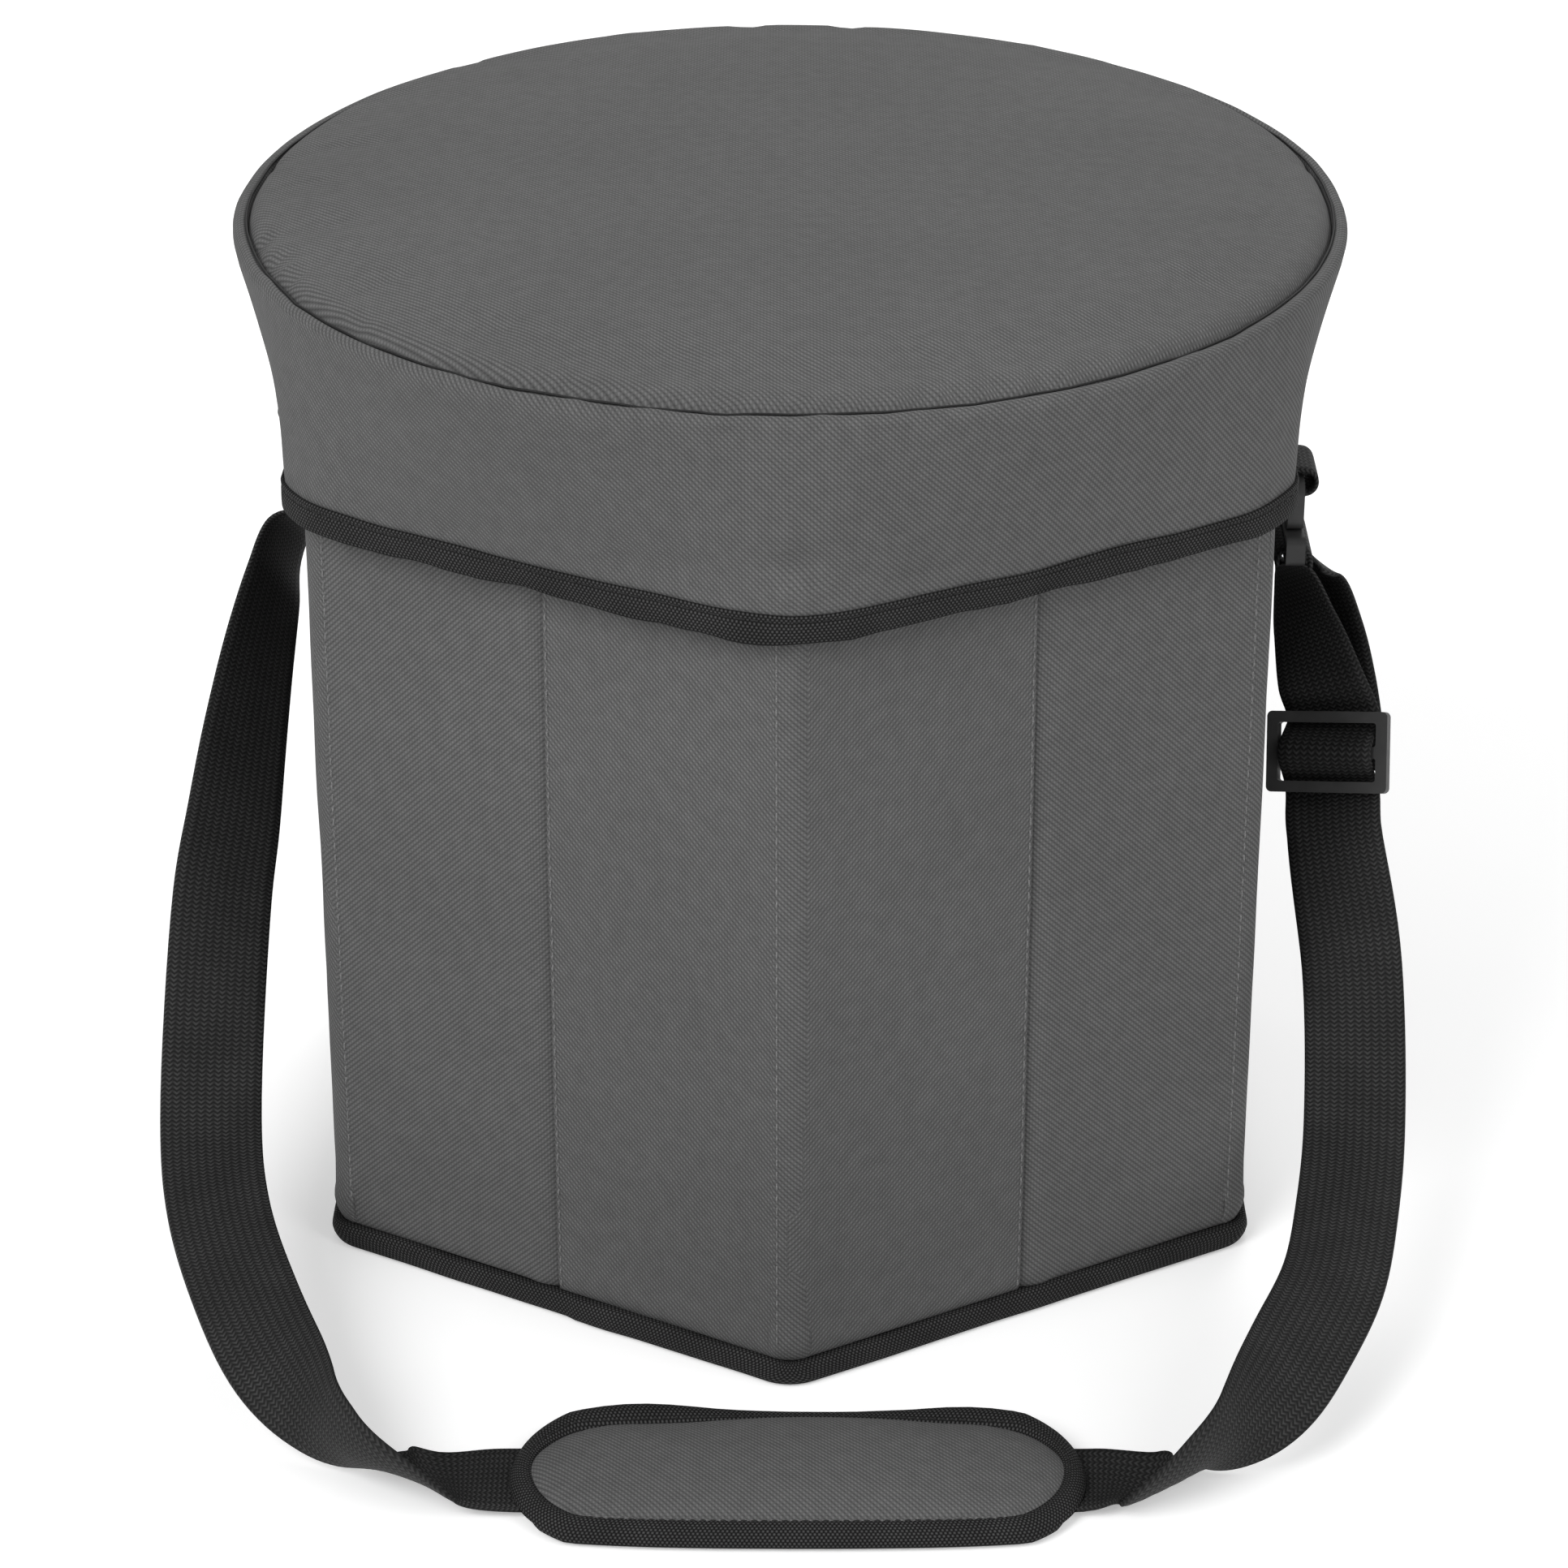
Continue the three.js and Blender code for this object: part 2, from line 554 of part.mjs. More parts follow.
// Near the pad the webbing turns over: its outer edge passes below and becomes the pad's far edge
const RIGHT_LAY = [
  stop(179.5, -58, 87, [1, 0, 0]),
  stop(178.6, -93.6, 51, [0.99, -0.14, -0.02]),
  stop(173.4, -128.3, 40, [0.98, -0.17, -0.06]),
  stop(166.4, -159.5, 34, [0.94, -0.26, -0.21]),
  stop(155.7, -184.5, 29, [0.86, -0.33, -0.39]),
  stop(144.9, -204, 24, [0.74, -0.36, -0.56]),
  stop(132.3, -217.5, 19.6, [0.22, 0.13, -0.97]),
  stop(120.7, -223.9, 15.6, [0.03, 0.63, -0.77]),
  stop(110.1, -225.5, 9.8, [0.12, 0.88, -0.46]),
  stop(101.5, -222.5, 3.9, [0, 1, -0.06]),
];

const LEFT_LAY = [
  stop(-162, 61.5, 190, [-0.25, -0.97, 0]),
  stop(-171, 57.8, 179, [-0.5, -0.87, 0]),
  stop(-174.7, 43, 165, [-0.8, -0.6, 0]),
  stop(-177.8, 4, 140, [-0.97, -0.25, 0]),
  stop(-181.8, -42, 105, [-1, 0, 0]),
  stop(-183, -93.6, 51, [-0.99, -0.14, -0.02]),
  stop(-177.7, -128.3, 40, [-0.97, -0.2, -0.11]),
  stop(-166.8, -163.6, 32.8, [-0.92, -0.28, -0.25]),
  stop(-154.4, -191.7, 26, [-0.82, -0.34, -0.45]),
  stop(-141, -209.5, 20, [-0.34, -0.02, -0.94]),
  stop(-128.9, -219.7, 17.2, [0.06, 0.41, -0.91]),
  stop(-118, -224.5, 14, [-0.04, 0.77, -0.64]),
  stop(-109, -224, 8.8, [-0.18, 0.92, -0.34]),
  stop(-102, -221.5, 4.2, [0, 1, -0.06]),
];

// Stops round the lower bar of a hook's eye, from the outer layer to the inner one
function eyeTurn(sign, tabY) {
  const across = [0, -1, 0];
  const slotZ = EYE_SLOT_LOW + EYE_STRAP_LIFT + STRAP_T / 2;
  const reach = (EYE_T + STRAP_T) / 2;
  const at = (out, z) => stop(sign * (HOOK_X + out), tabY, z, across);
  return [
    at(EYE_TURN, EYE_LOW - EYE_RUN),
    at(EYE_TURN, EYE_SLOT_LOW - EYE_BAR / 2),
    at(reach, slotZ - 2 * GAP),
    at(0, slotZ),
    at(-reach, slotZ - 2 * GAP),
    at(-EYE_TURN, EYE_SLOT_LOW - EYE_BAR / 2),
    at(-EYE_TURN, EYE_LOW - EYE_RUN),
    at(-EYE_TURN + 2 * GAP, EYE_LOW - 2 * EYE_BAR - EYE_RUN),
  ];
}

// Stops at a distance down the strap from the slider's middle, in front of it and to its right
function bySlider(down, front, right = 0) {
  const at = SLIDER_AT.clone().addScaledVector(SLIDER_DOWN, down).addScaledVector(SLIDER_FRONT, front);
  at.addScaledVector(SLIDER_ACROSS, right);
  return { at, across: SLIDER_ACROSS.clone() };
}

function inPad(x) {
  return stop(x, PAD_Y, STRAP_Z_IN_PAD, [0, 1, 0]);
}

function ribbon(stops, steps) {
  const path = new THREE.CatmullRomCurve3(stops.map((s) => s.at), false, 'centripetal');
  const rows = [];
  for (let k = 0; k <= steps; k += 1) {
    const t = k / steps;
    const place = t * (stops.length - 1);
    const from = Math.min(Math.floor(place), stops.length - 2);
    const across = stops[from].across.clone().lerp(stops[from + 1].across, place - from);
    const along = path.getTangent(t);
    across.addScaledVector(along, -across.dot(along)).normalize();
    const front = new THREE.Vector3().crossVectors(along, across);
    const middle = path.getPoint(t);
    const corners = [[1, 1], [-1, 1], [-1, -1], [1, -1]];
    rows.push(corners.map(([u, v]) => middle.clone()
      .addScaledVector(across, (u * STRAP_W) / 2)
      .addScaledVector(front, (v * STRAP_T) / 2).toArray()));
  }
  return skin(rows, false);
}

function strap() {
  const outerBar = (SLIDER_H - SLIDER_BAR) / 2;
  const woven = [
    bySlider(-WEAVE_RUN * outerBar, 0),
    bySlider(-outerBar, -WEAVE),
    bySlider(0, WEAVE),
    bySlider(outerBar, -WEAVE),
    bySlider(WEAVE_RUN * outerBar, 0, STRAP_DRIFT),
  ];
  const padEnd = PAD_L / 2;
  const right = [
    ...eyeTurn(1, RIGHT_TAB_Y),
    ...RIGHT_DROP,
    ...woven,
    ...RIGHT_LAY,
    inPad(PAD_X + padEnd + PAD_ENTRY),
    inPad(PAD_X + padEnd / 2),
    inPad(PAD_X + GAP / 2),
  ];
  piece('strap_right', ribbon(right, 4 * (right.length - 1)), 'webbing');
  const left = [
    ...eyeTurn(-1, LEFT_TAB_Y),
    ...LEFT_LAY,
    inPad(PAD_X - padEnd - PAD_ENTRY),
    inPad(PAD_X - padEnd / 2),
    inPad(PAD_X - GAP / 2),
  ];
  piece('strap_left', ribbon(left, 4 * (left.length - 1)), 'webbing');
  const tailTop = EYE_LOW - EYE_RUN - GAP;
  const tail = [
    stop(HOOK_X + EYE_TURN, RIGHT_TAB_Y, tailTop, [0, -1, 0]),
    stop(HOOK_X + EYE_TURN, RIGHT_TAB_Y, tailTop - 3, [0, -1, 0]),
    stop(HOOK_X + EYE_TURN + 2.5, RIGHT_TAB_Y, tailTop - 7, [0, -1, 0]),
    stop(HOOK_X + EYE_TURN + 8, RIGHT_TAB_Y - 2, tailTop - 16, [0.3, -0.95, 0]),
    stop(HOOK_X + EYE_TURN + 12, RIGHT_TAB_Y - 7, tailTop - 28, [0.7, -0.7, 0]),
    bySlider(-TAIL_RUN * outerBar, -TAIL_BEHIND),
    bySlider(-outerBar / 2, -TAIL_BEHIND),
    bySlider(outerBar / 2, -TAIL_BEHIND),
  ];
  piece('strap_tail', ribbon(tail, 4 * (tail.length - 1)), 'webbing');
}

function slider() {
  const halfSlot = STRAP_W / 2 + STRAP_SLOT_PLAY;
  const frame = roundedBox(halfSlot + SLIDER_RIM, -SLIDER_H / 2, SLIDER_H / 2, SLIDER_CORNER_R);
  frame.holes.push(roundedBox(halfSlot, SLIDER_BAR / 2, SLIDER_H / 2 - SLIDER_BAR, SLOT_CORNER_R));
  frame.holes.push(roundedBox(halfSlot, SLIDER_BAR - SLIDER_H / 2, -SLIDER_BAR / 2, SLOT_CORNER_R));
  const mesh = piece('strap_slider', slab(frame, SLIDER_T), 'plastic');
  const up = SLIDER_DOWN.clone().negate();
  mesh.applyMatrix4(new THREE.Matrix4().makeBasis(SLIDER_ACROSS, up, SLIDER_FRONT));
  mesh.position.copy(SLIDER_AT);
}

// Shoulder pad: a backing, the cushion above the strap, and the tape round the cushion's edge
const PAD_STEPS = 48;

// Outline of the cushion, drawn in by a distance from its edge
function padOutline(inset, z) {
  const halfWidth = PAD_W / 2 - PAD_TAPE_OUT;
  const halfLength = PAD_L / 2 - PAD_TAPE_OUT;
  const straight = halfLength - halfWidth;
  const row = [];
  for (let k = 0; k < PAD_STEPS; k += 1) {
    const angle = ((k + 0.5) / PAD_STEPS) * 360 * DEG;
    const c = Math.cos(angle);
    const x = THREE.MathUtils.clamp(2 * c, -1, 1) * straight + c * (halfWidth - inset);
    const waist = PAD_WAIST * Math.cos(THREE.MathUtils.clamp(x / halfLength, -1, 1) * 90 * DEG) ** 2;
    const y = Math.sin(angle) * (halfWidth - inset) - Math.sign(Math.sin(angle)) * waist;
    row.push([PAD_X + x, PAD_Y + y, z]);
  }
  return row;
}

function shoulderPad() {
  const back = GAP + PAD_BACK_T;
  const backing = [
    padOutline(PAD_BACK_CHAMFER, GAP),
    padOutline(0, GAP + PAD_BACK_CHAMFER),
    padOutline(0, back),
  ];
  piece('pad_back', skin(backing, false), 'webbing');
  const low = back + 2 * GAP + STRAP_T;
  const edge = low + PAD_EDGE_T;
  const cushion = [padOutline(0, low), padOutline(0, edge), padOutline(PAD_TAPE_W, edge)];
  for (const [inside, share] of PAD_CROWN_RINGS) {
    cushion.push(padOutline(PAD_TAPE_W + inside, edge + share * PAD_CROWN));
  }
  piece('pad_cushion', skin(cushion, false), 'cloth');
  const top = edge + GAP + PAD_TAPE_T;
  const section = [
    [-GAP, low],
    [-PAD_TAPE_OUT, low],
    [-PAD_TAPE_OUT, top - PAD_TAPE_T / 2],
    [-PAD_TAPE_OUT / 2, top],
    [PAD_TAPE_W - GAP, top],
    [PAD_TAPE_W - GAP, edge + GAP],
    [-GAP, edge + GAP],
  ];
  const loops = section.map(([inset, z]) => padOutline(inset, z));
  const rows = [];
  for (let k = 0; k < PAD_STEPS; k += 1) rows.push(loops.map((loop) => loop[k]));
  piece('pad_binding', skin(rows, true), 'tape');
}

walls();
base();
lid();
tabAndHook('right', 0, RIGHT_TAB_Y);
tabAndHook('left', 180, LEFT_TAB_Y);
strap();
slider();
shoulderPad();

export default stool;
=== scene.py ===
# Looks of a folding cooler stool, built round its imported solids.
# Lengths are in millimetres here and become metres where a mesh is made.
import math

import bmesh
import bpy
import numpy as np
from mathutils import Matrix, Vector, noise
from mathutils.bvhtree import BVHTree


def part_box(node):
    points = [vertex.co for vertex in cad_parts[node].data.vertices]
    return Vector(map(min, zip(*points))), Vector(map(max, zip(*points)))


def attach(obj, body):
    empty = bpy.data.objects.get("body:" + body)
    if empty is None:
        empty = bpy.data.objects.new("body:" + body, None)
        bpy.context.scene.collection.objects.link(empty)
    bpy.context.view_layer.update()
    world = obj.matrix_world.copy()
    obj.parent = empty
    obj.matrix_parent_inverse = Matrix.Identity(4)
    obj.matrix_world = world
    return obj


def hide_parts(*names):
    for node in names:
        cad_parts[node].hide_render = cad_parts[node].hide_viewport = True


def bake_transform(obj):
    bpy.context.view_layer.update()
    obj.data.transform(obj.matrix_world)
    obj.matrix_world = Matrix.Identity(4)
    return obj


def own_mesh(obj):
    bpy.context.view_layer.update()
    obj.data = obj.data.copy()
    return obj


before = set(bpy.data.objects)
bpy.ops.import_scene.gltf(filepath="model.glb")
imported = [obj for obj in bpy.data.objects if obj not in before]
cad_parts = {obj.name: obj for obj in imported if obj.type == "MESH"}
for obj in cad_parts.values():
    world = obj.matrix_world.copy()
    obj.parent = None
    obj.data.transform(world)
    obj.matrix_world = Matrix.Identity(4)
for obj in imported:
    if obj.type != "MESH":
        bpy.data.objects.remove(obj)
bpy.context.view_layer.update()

MM = 0.001
DEG = math.pi / 180
scene = bpy.context.scene


def span(node):
    """Lowest and highest corner of a solid, in millimetres."""
    low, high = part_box(node)
    return low / MM, high / MM


# Sizes read from the solids
COVER_LOW, COVER_HIGH = span("cover_right")
APOTHEM = COVER_HIGH.x
SIDE = APOTHEM * 2 / math.sqrt(3)
WALL_FOOT, WALL_TOP = COVER_LOW.z, COVER_HIGH.z
INNER = span("liner_right")[0].x
WALL_T = APOTHEM - INNER
BASE_OUT = span("base_binding")[1].x
BASE_H = span("base_binding")[1].z
FLOOR_T = span("floor_cloth")[1].z
BOARD_LOW, BOARD_HIGH = span("base_board")
RIM_R = span("lid_top")[1].x
SEAT_TOP = span("lid_top")[1].z
SKIRT_LOW, SKIRT_HIGH = (corner.z for corner in span("lid_skirt"))
HEM_LOW, HEM_HIGH = (corner.z for corner in span("hem_binding"))
FOAM_LOW, FOAM_HIGH = span("lid_foam")
LID_LINER_LOW, LID_LINER_HIGH = span("lid_liner")
TAPE_LOW, TAPE_HIGH = span("pad_binding")
PAD_BACK_LOW, PAD_BACK_HIGH = span("pad_back")
PAD_TOP = span("pad_cushion")[1].z

# Sizes that the solids share with their source
LID_CLOTH_T = 1.2       # seat cloth and skirt cloth
HEM_PLAY = 1.6          # room between the hem and a wall corner
HEM_FACE_PLAY = 7.2     # room between the hem and the middle of a front or back face
HEM_TAPE_T = 0.8
STRAP_W = 32
STRAP_T = 1.6
TAB_W = 20
EYE_BAR = 2.6           # thickness of an eye's lower bar
EYE_RUN = 2.5           # straight webbing below the eye
EYE_TURN_PLAY = 1.4     # room between an eye's side and the webbing beside it
EYE_STRAP_LIFT = 1.1    # room between the bar and the webbing over it
GAP = 0.3               # clearance between touching pieces

# Camera, fitted to the seat's rim and the corners of the hem and the base
CAMERA_AT = (0, -1449.8, 864.7)
CAMERA_AIM = (-1.9, 0, 122.6)
CAMERA_LENS = 114.57
SENSOR = 36.0


# Mesh making
def agreement(bm, facing):
    """Positive where most of a mesh looks the way that facing says."""
    total = 0
    for f in bm.faces:
        wanted = Vector(facing(f.calc_center_median() / MM))
        total += f.calc_area() * f.normal.dot(wanted)
    return total


def make(name, verts, faces, uvs, material, facing=None):
    """A smooth mesh object; facing gives the direction in which a face at a point should look."""
    mesh = bpy.data.meshes.new(name)
    mesh.from_pydata([tuple(v) for v in np.asarray(verts, float) * MM], [], faces)
    layer = mesh.uv_layers.new(name="cloth")
    layer.data.foreach_set("uv", (np.asarray(uvs, np.float32) * MM).ravel())
    bm = bmesh.new()
    bm.from_mesh(mesh)
    bmesh.ops.recalc_face_normals(bm, faces=bm.faces)
    if facing is not None and agreement(bm, facing) < 0:
        bmesh.ops.reverse_faces(bm, faces=bm.faces)
    for f in bm.faces:
        f.smooth = True
    bm.to_mesh(mesh)
    bm.free()
    mesh.materials.append(material)
    piece = bpy.data.objects.new(name, mesh)
    scene.collection.objects.link(piece)
    return piece


ENDS = (0, -1)          # the first and last row of a grid


def grid(points, wrap_rows=False, wrap_columns=False, caps=()):
    """Vertices, faces and corner UVs of a sheet over points[row][column]; caps lists the rows to fill."""
    points = np.asarray(points, float)
    rows, columns = points.shape[:2]
    u_step = np.linalg.norm(np.roll(points, -1, axis=1) - points, axis=2).mean(axis=0)
    v_step = np.linalg.norm(np.roll(points, -1, axis=0) - points, axis=2).mean(axis=1)
    u = np.concatenate([[0], np.cumsum(u_step)])
    v = np.concatenate([[0], np.cumsum(v_step)])
    faces = []
    uvs = []
    for i in range(rows if wrap_rows else rows - 1):
        k = (i + 1) % rows
        for j in range(columns if wrap_columns else columns - 1):
            m = (j + 1) % columns
            faces.append((i * columns + j, i * columns + m, k * columns + m, k * columns + j))
            uvs += [(u[j], v[i]), (u[j + 1], v[i]), (u[j + 1], v[i + 1]), (u[j], v[i + 1])]
    for cap in caps:
        row = cap % rows
        faces.append(tuple(row * columns + j for j in range(columns)))
        uvs += [(u[j], v[row]) for j in range(columns)]
    return points.reshape(-1, 3), faces, uvs


def thicken(piece, thickness):
    """Give a sheet its cloth's thickness, inwards from its outer face."""
    solid = piece.modifiers.new("thickness", "SOLIDIFY")
    solid.thickness = thickness * MM
    solid.offset = -1


def ticks(length, fine, step):
    """Places from 0 to length: fine ones near both ends and even steps between."""
    inner = np.arange(fine[-1], length - fine[-1], step)
    even = np.linspace(fine[-1], length - fine[-1], max(2, len(inner) + 1))
    return np.concatenate([fine[:-1], even, [length - f for f in reversed(fine[:-1])]])


def smooth(x):
    """An eased step from 0 to 1."""
    x = min(max(x, 0.0), 1.0)
    return x * x * (3 - 2 * x)


def bump(distance, width):
    """A bell of height 1."""
    return math.exp(-(distance / width) ** 2)


def drawn_in(distance, reach):
    """Share of a dip beside an edge: 1 there, and 0 at a reach from it."""
    return max(0, 1 - distance / reach) ** 2


def rumple(x, y, size, seed):
    """Gentle unevenness between -1 and 1, the same each time."""
    return noise.noise(Vector((x / size, y / size, seed)))


def unit(angle):
    """The direction at an angle in degrees, in plan."""
    return np.array([math.cos(angle * DEG), math.sin(angle * DEG)])


def travelled(line):
    """The distance along a line of points at each of them."""
    return np.concatenate([[0], np.cumsum(np.linalg.norm(np.diff(line, axis=0), axis=1))])


def aimed(name, data, at, aim):
    """A camera or lamp at a place in metres, turned towards another."""
    made = bpy.data.objects.new(name, data)
    made.location = at
    made.rotation_euler = (Vector(aim) - Vector(at)).to_track_quat("-Z", "Y").to_euler()
    scene.collection.objects.link(made)
    return made


def settle(piece, body, slot, *nodes):
    """Tie a piece to its body and hide the solids whose place it takes; slot is not used."""
    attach(piece, body)
    if nodes:
        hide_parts(*nodes)


# Shader making
class Shader:
    """A material with its node tree, and short calls for the nodes that it needs."""

    def __init__(self, name, roughness, specular=0.5, sheen=0.0, metallic=0.0):
        self.material = bpy.data.materials.new(name)
        self.material.use_nodes = True
        self.tree = self.material.node_tree
        self.bsdf = self.tree.nodes["Principled BSDF"]
        self.bsdf.inputs["Roughness"].default_value = roughness
        self.bsdf.inputs["Metallic"].default_value = metallic
        self.bsdf.inputs["Sheen Weight"].default_value = sheen
        self.bsdf.inputs["Specular IOR Level"].default_value = specular

    def node(self, kind, **settings):
        made = self.tree.nodes.new(kind)
        for key, value in settings.items():
            setattr(made, key, value)
        return made

    def feed(self, socket, value):
        if isinstance(value, (int, float)):
            socket.default_value = value
        else:
            self.tree.links.new(value, socket)

    def math(self, operation, a, b=0.0, c=0.0):
        made = self.node("ShaderNodeMath", operation=operation)
        for socket, value in zip(made.inputs, (a, b, c)):
            self.feed(socket, value)
        return made.outputs[0]

    def over(self, value, size):
        """A coordinate along the cloth, counted in steps of a size."""
        return self.math("DIVIDE", value, size * MM)

    def place(self, flat=False):
        """Coordinates along the cloth in metres: its UVs, or x and y for a level piece."""
        source = self.node("ShaderNodeTexCoord").outputs["Object" if flat else "UV"]
        split = self.node("ShaderNodeSeparateXYZ")
        self.tree.links.new(source, split.inputs[0])
        return split.outputs[0], split.outputs[1]

    def noise(self, scale, detail=3.0, roughness=0.55):
        source = self.node("ShaderNodeTexCoord").outputs["Object"]
        made = self.node("ShaderNodeTexNoise")
        self.tree.links.new(source, made.inputs["Vector"])
        made.inputs["Scale"].default_value = scale
        made.inputs["Detail"].default_value = detail
        made.inputs["Roughness"].default_value = roughness
        return made.outputs["Fac"]

    def ramp(self, value, stops):
        made = self.node("ShaderNodeValToRGB")
        elements = made.color_ramp.elements
        while len(elements) < len(stops):
            elements.new(0.5)
        for element, (at, colour) in zip(elements, stops):
            element.position = at
            element.color = (*colour, 1)
        self.tree.links.new(value, made.inputs[0])
        return made.outputs[0]

    def paint(self, colour):
        self.tree.links.new(colour, self.bsdf.inputs["Base Color"])

    def relief(self, height, depth, strength):
        made = self.node("ShaderNodeBump")
        made.inputs["Strength"].default_value = strength
        made.inputs["Distance"].default_value = depth * MM
        self.tree.links.new(height, made.inputs["Height"])
        self.tree.links.new(made.outputs[0], self.bsdf.inputs["Normal"])

    def tinted(self, colour, factor):
        """A colour times a factor that varies over the surface."""
        made = self.node("ShaderNodeMix", data_type="RGBA", blend_type="MULTIPLY")
        made.inputs["Factor"].default_value = 1.0
        self.tree.links.new(colour, made.inputs["A"])
        self.tree.links.new(factor, made.inputs["B"])
        return made.outputs["Result"]

    def mottled(self, colour, scale, low, high):
        """The colour with soft darker and lighter areas."""
        factor = self.ramp(self.noise(scale), [(0.3, (low,) * 3), (0.7, (high,) * 3)])
        return self.tinted(colour, factor)

    def finish(self, height, tones, mottles, depth, strength):
        """Tones by height with mottles over them, and the same height as relief."""
        colour = self.ramp(height, tones)
        for mottle in mottles:
            colour = self.mottled(colour, *mottle)
        self.paint(colour)
        self.relief(height, depth, strength)
        return self.material


def grey(value):
    return (value, value, value)


# Weaves
YARN = 0.95             # width of the cloth's yarns
RIDGE_SHARE = 0.55      # of the cloth's relief, in its diagonal ridges
RIB = 1.3               # width of the tape's ribs
RIB_ROW = 0.95          # and their length
CHEVRON = 2.6           # width of the webbing's columns
PICK = 1.5              # distance between its threads
CHEVRON_RISE = 1.3      # how far a thread climbs across a column, in threads
PRESS = 4               # grid pressed into the lining


def wave(s, x):
    """A round yarn's height over its width, from 0 to 1 to 0 as x runs over one yarn."""
    return s.math("SINE", s.math("MULTIPLY", s.math("FRACT", x), math.pi))


def odd(s, count):
    """1 where a whole number is odd and 0 where it is even."""
    return s.math("MODULO", s.math("ABSOLUTE", count), 2.0)


def plain_weave(s, u, v):
    """Height of a plain weave whose yarns lie a yarn width apart, with ridges along one diagonal."""
    x = s.over(u, YARN)
    y = s.over(v, YARN)
    across = wave(s, x)
    along = wave(s, y)
    turned_over = odd(s, s.math("ADD", s.math("FLOOR", x), s.math("FLOOR", y)))
    warp = s.math("MULTIPLY", across, s.math("MULTIPLY_ADD", along, 0.45, 0.55))
    weft = s.math("MULTIPLY", along, s.math("MULTIPLY_ADD", across, 0.30, 0.40))
    woven = s.math("ADD", warp, s.math("MULTIPLY", turned_over, s.math("SUBTRACT", weft, warp)))
    ridge = wave(s, s.math("MULTIPLY", s.math("ADD", x, y), 0.5))
    return s.math("MULTIPLY_ADD", ridge, RIDGE_SHARE, s.math("MULTIPLY", woven, 1 - RIDGE_SHARE))


def cloth_material(name, flat=False):
    """Grey woven cloth; flat is for a level piece, whose weave follows x and y."""
    s = Shader(name, roughness=0.86, specular=0.12, sheen=0.02)
    height = plain_weave(s, *s.place(flat))
    # The tones run from dark in the weave's hollows to light on its crests and diagonal ridges: painted shade
    # and light over the yarns
    tones = [(0.05, grey(0.057)), (0.55, grey(0.104)), (0.95, grey(0.157))]
    mottles = [(9.0, 0.94, 1.05), (240.0, 0.93, 1.07)]
    return s.finish(height, tones, mottles, depth=0.22, strength=0.45)


def tape_material(name):
    """Ribbed binding tape: short ribs in rows, each row shifted by half a rib."""
    s = Shader(name, roughness=0.8, specular=0.1)
    u, v = s.place()
    row = s.over(v, RIB_ROW)
    shift = s.math("MULTIPLY", odd(s, s.math("FLOOR", row)), 0.5)
    rib = wave(s, s.math("ADD", s.over(u, RIB), shift))
    height = s.math("MULTIPLY", rib, s.math("MULTIPLY_ADD", wave(s, row), 0.5, 0.5))
    # The tones run from dark between the ribs to light on them: painted shade and light over the ribs
    tones = [(0.1, grey(0.006)), (0.6, grey(0.022)), (0.95, grey(0.074))]
    return s.finish(height, tones, [(60.0, 0.85, 1.12)], depth=0.4, strength=0.8)


def webbing_material(name):
    """Herringbone webbing: columns of chevrons along the strap."""
    s = Shader(name, roughness=0.6, specular=0.14)
    u, v = s.place()
    column = s.over(u, CHEVRON)
    slope = s.math("ABSOLUTE", s.math("SUBTRACT", s.math("FRACT", column), 0.5))
    pick = s.math("ADD", s.over(v, PICK), s.math("MULTIPLY", slope, CHEVRON_RISE))
    height = s.math("MULTIPLY", wave(s, pick), s.math("MULTIPLY_ADD", wave(s, column), 0.35, 0.65))
    # The tones run from dark between the threads to light on them: painted shade and highlights over the
    # chevrons
    tones = [(0.1, grey(0.008)), (0.65, grey(0.019)), (0.97, grey(0.047))]
    return s.finish(height, tones, [(70.0, 0.85, 1.12)], depth=0.3, strength=0.6)


def plastic_material(name):
    s = Shader(name, roughness=0.42, specular=0.3)
    grain = s.noise(1800.0, detail=2.0)
    colour = s.ramp(s.noise(90.0), [(0.3, grey(0.04)), (0.7, grey(0.058))])
    s.paint(colour)
    rough = s.math("MULTIPLY_ADD", s.noise(320.0), 0.16, 0.36)
    s.tree.links.new(rough, s.bsdf.inputs["Roughness"])
    s.relief(grain, depth=0.05, strength=0.4)
    return s.material


def lining_material(name):
    """Silver-grey lining: a smooth film on foam, with a faint pressed grid and soft creases."""
    s = Shader(name, roughness=0.34, metallic=0.25)
    u, v = s.place()
    press = s.math("MULTIPLY", wave(s, s.over(u, PRESS)), wave(s, s.over(v, PRESS)))
    crease = s.noise(55.0, detail=5.0, roughness=0.6)
    colour = s.ramp(press, [(0.0, (0.50, 0.52, 0.54)), (0.6, (0.60, 0.62, 0.64))])
    s.paint(s.mottled(colour, 30.0, 0.92, 1.04))
    height = s.math("ADD", s.math("MULTIPLY", press, 0.25), crease)
    s.relief(height, depth=0.8, strength=0.35)
    return s.material


def foam_material(name):
    s = Shader(name, roughness=0.95)
    cells = s.node("ShaderNodeTexVoronoi")
    cells.inputs["Scale"].default_value = 900.0
    s.tree.links.new(s.node("ShaderNodeTexCoord").outputs["Object"], cells.inputs["Vector"])
    tones = [(0.0, (0.42, 0.40, 0.34)), (0.6, (0.70, 0.67, 0.60))]
    return s.finish(cells.outputs["Distance"], tones, [(25.0, 0.95, 1.04)], depth=0.5, strength=0.6)


def board_material(name):
    """Hardboard: dark pressed fibre."""
    s = Shader(name, roughness=0.72)
    fibre = s.noise(420.0, detail=8.0, roughness=0.75)
    tones = [(0.3, (0.045, 0.038, 0.032)), (0.55, (0.085, 0.074, 0.064)), (0.75, (0.13, 0.115, 0.1))]
    return s.finish(fibre, tones, [(14.0, 0.88, 1.08)], depth=0.12, strength=0.5)


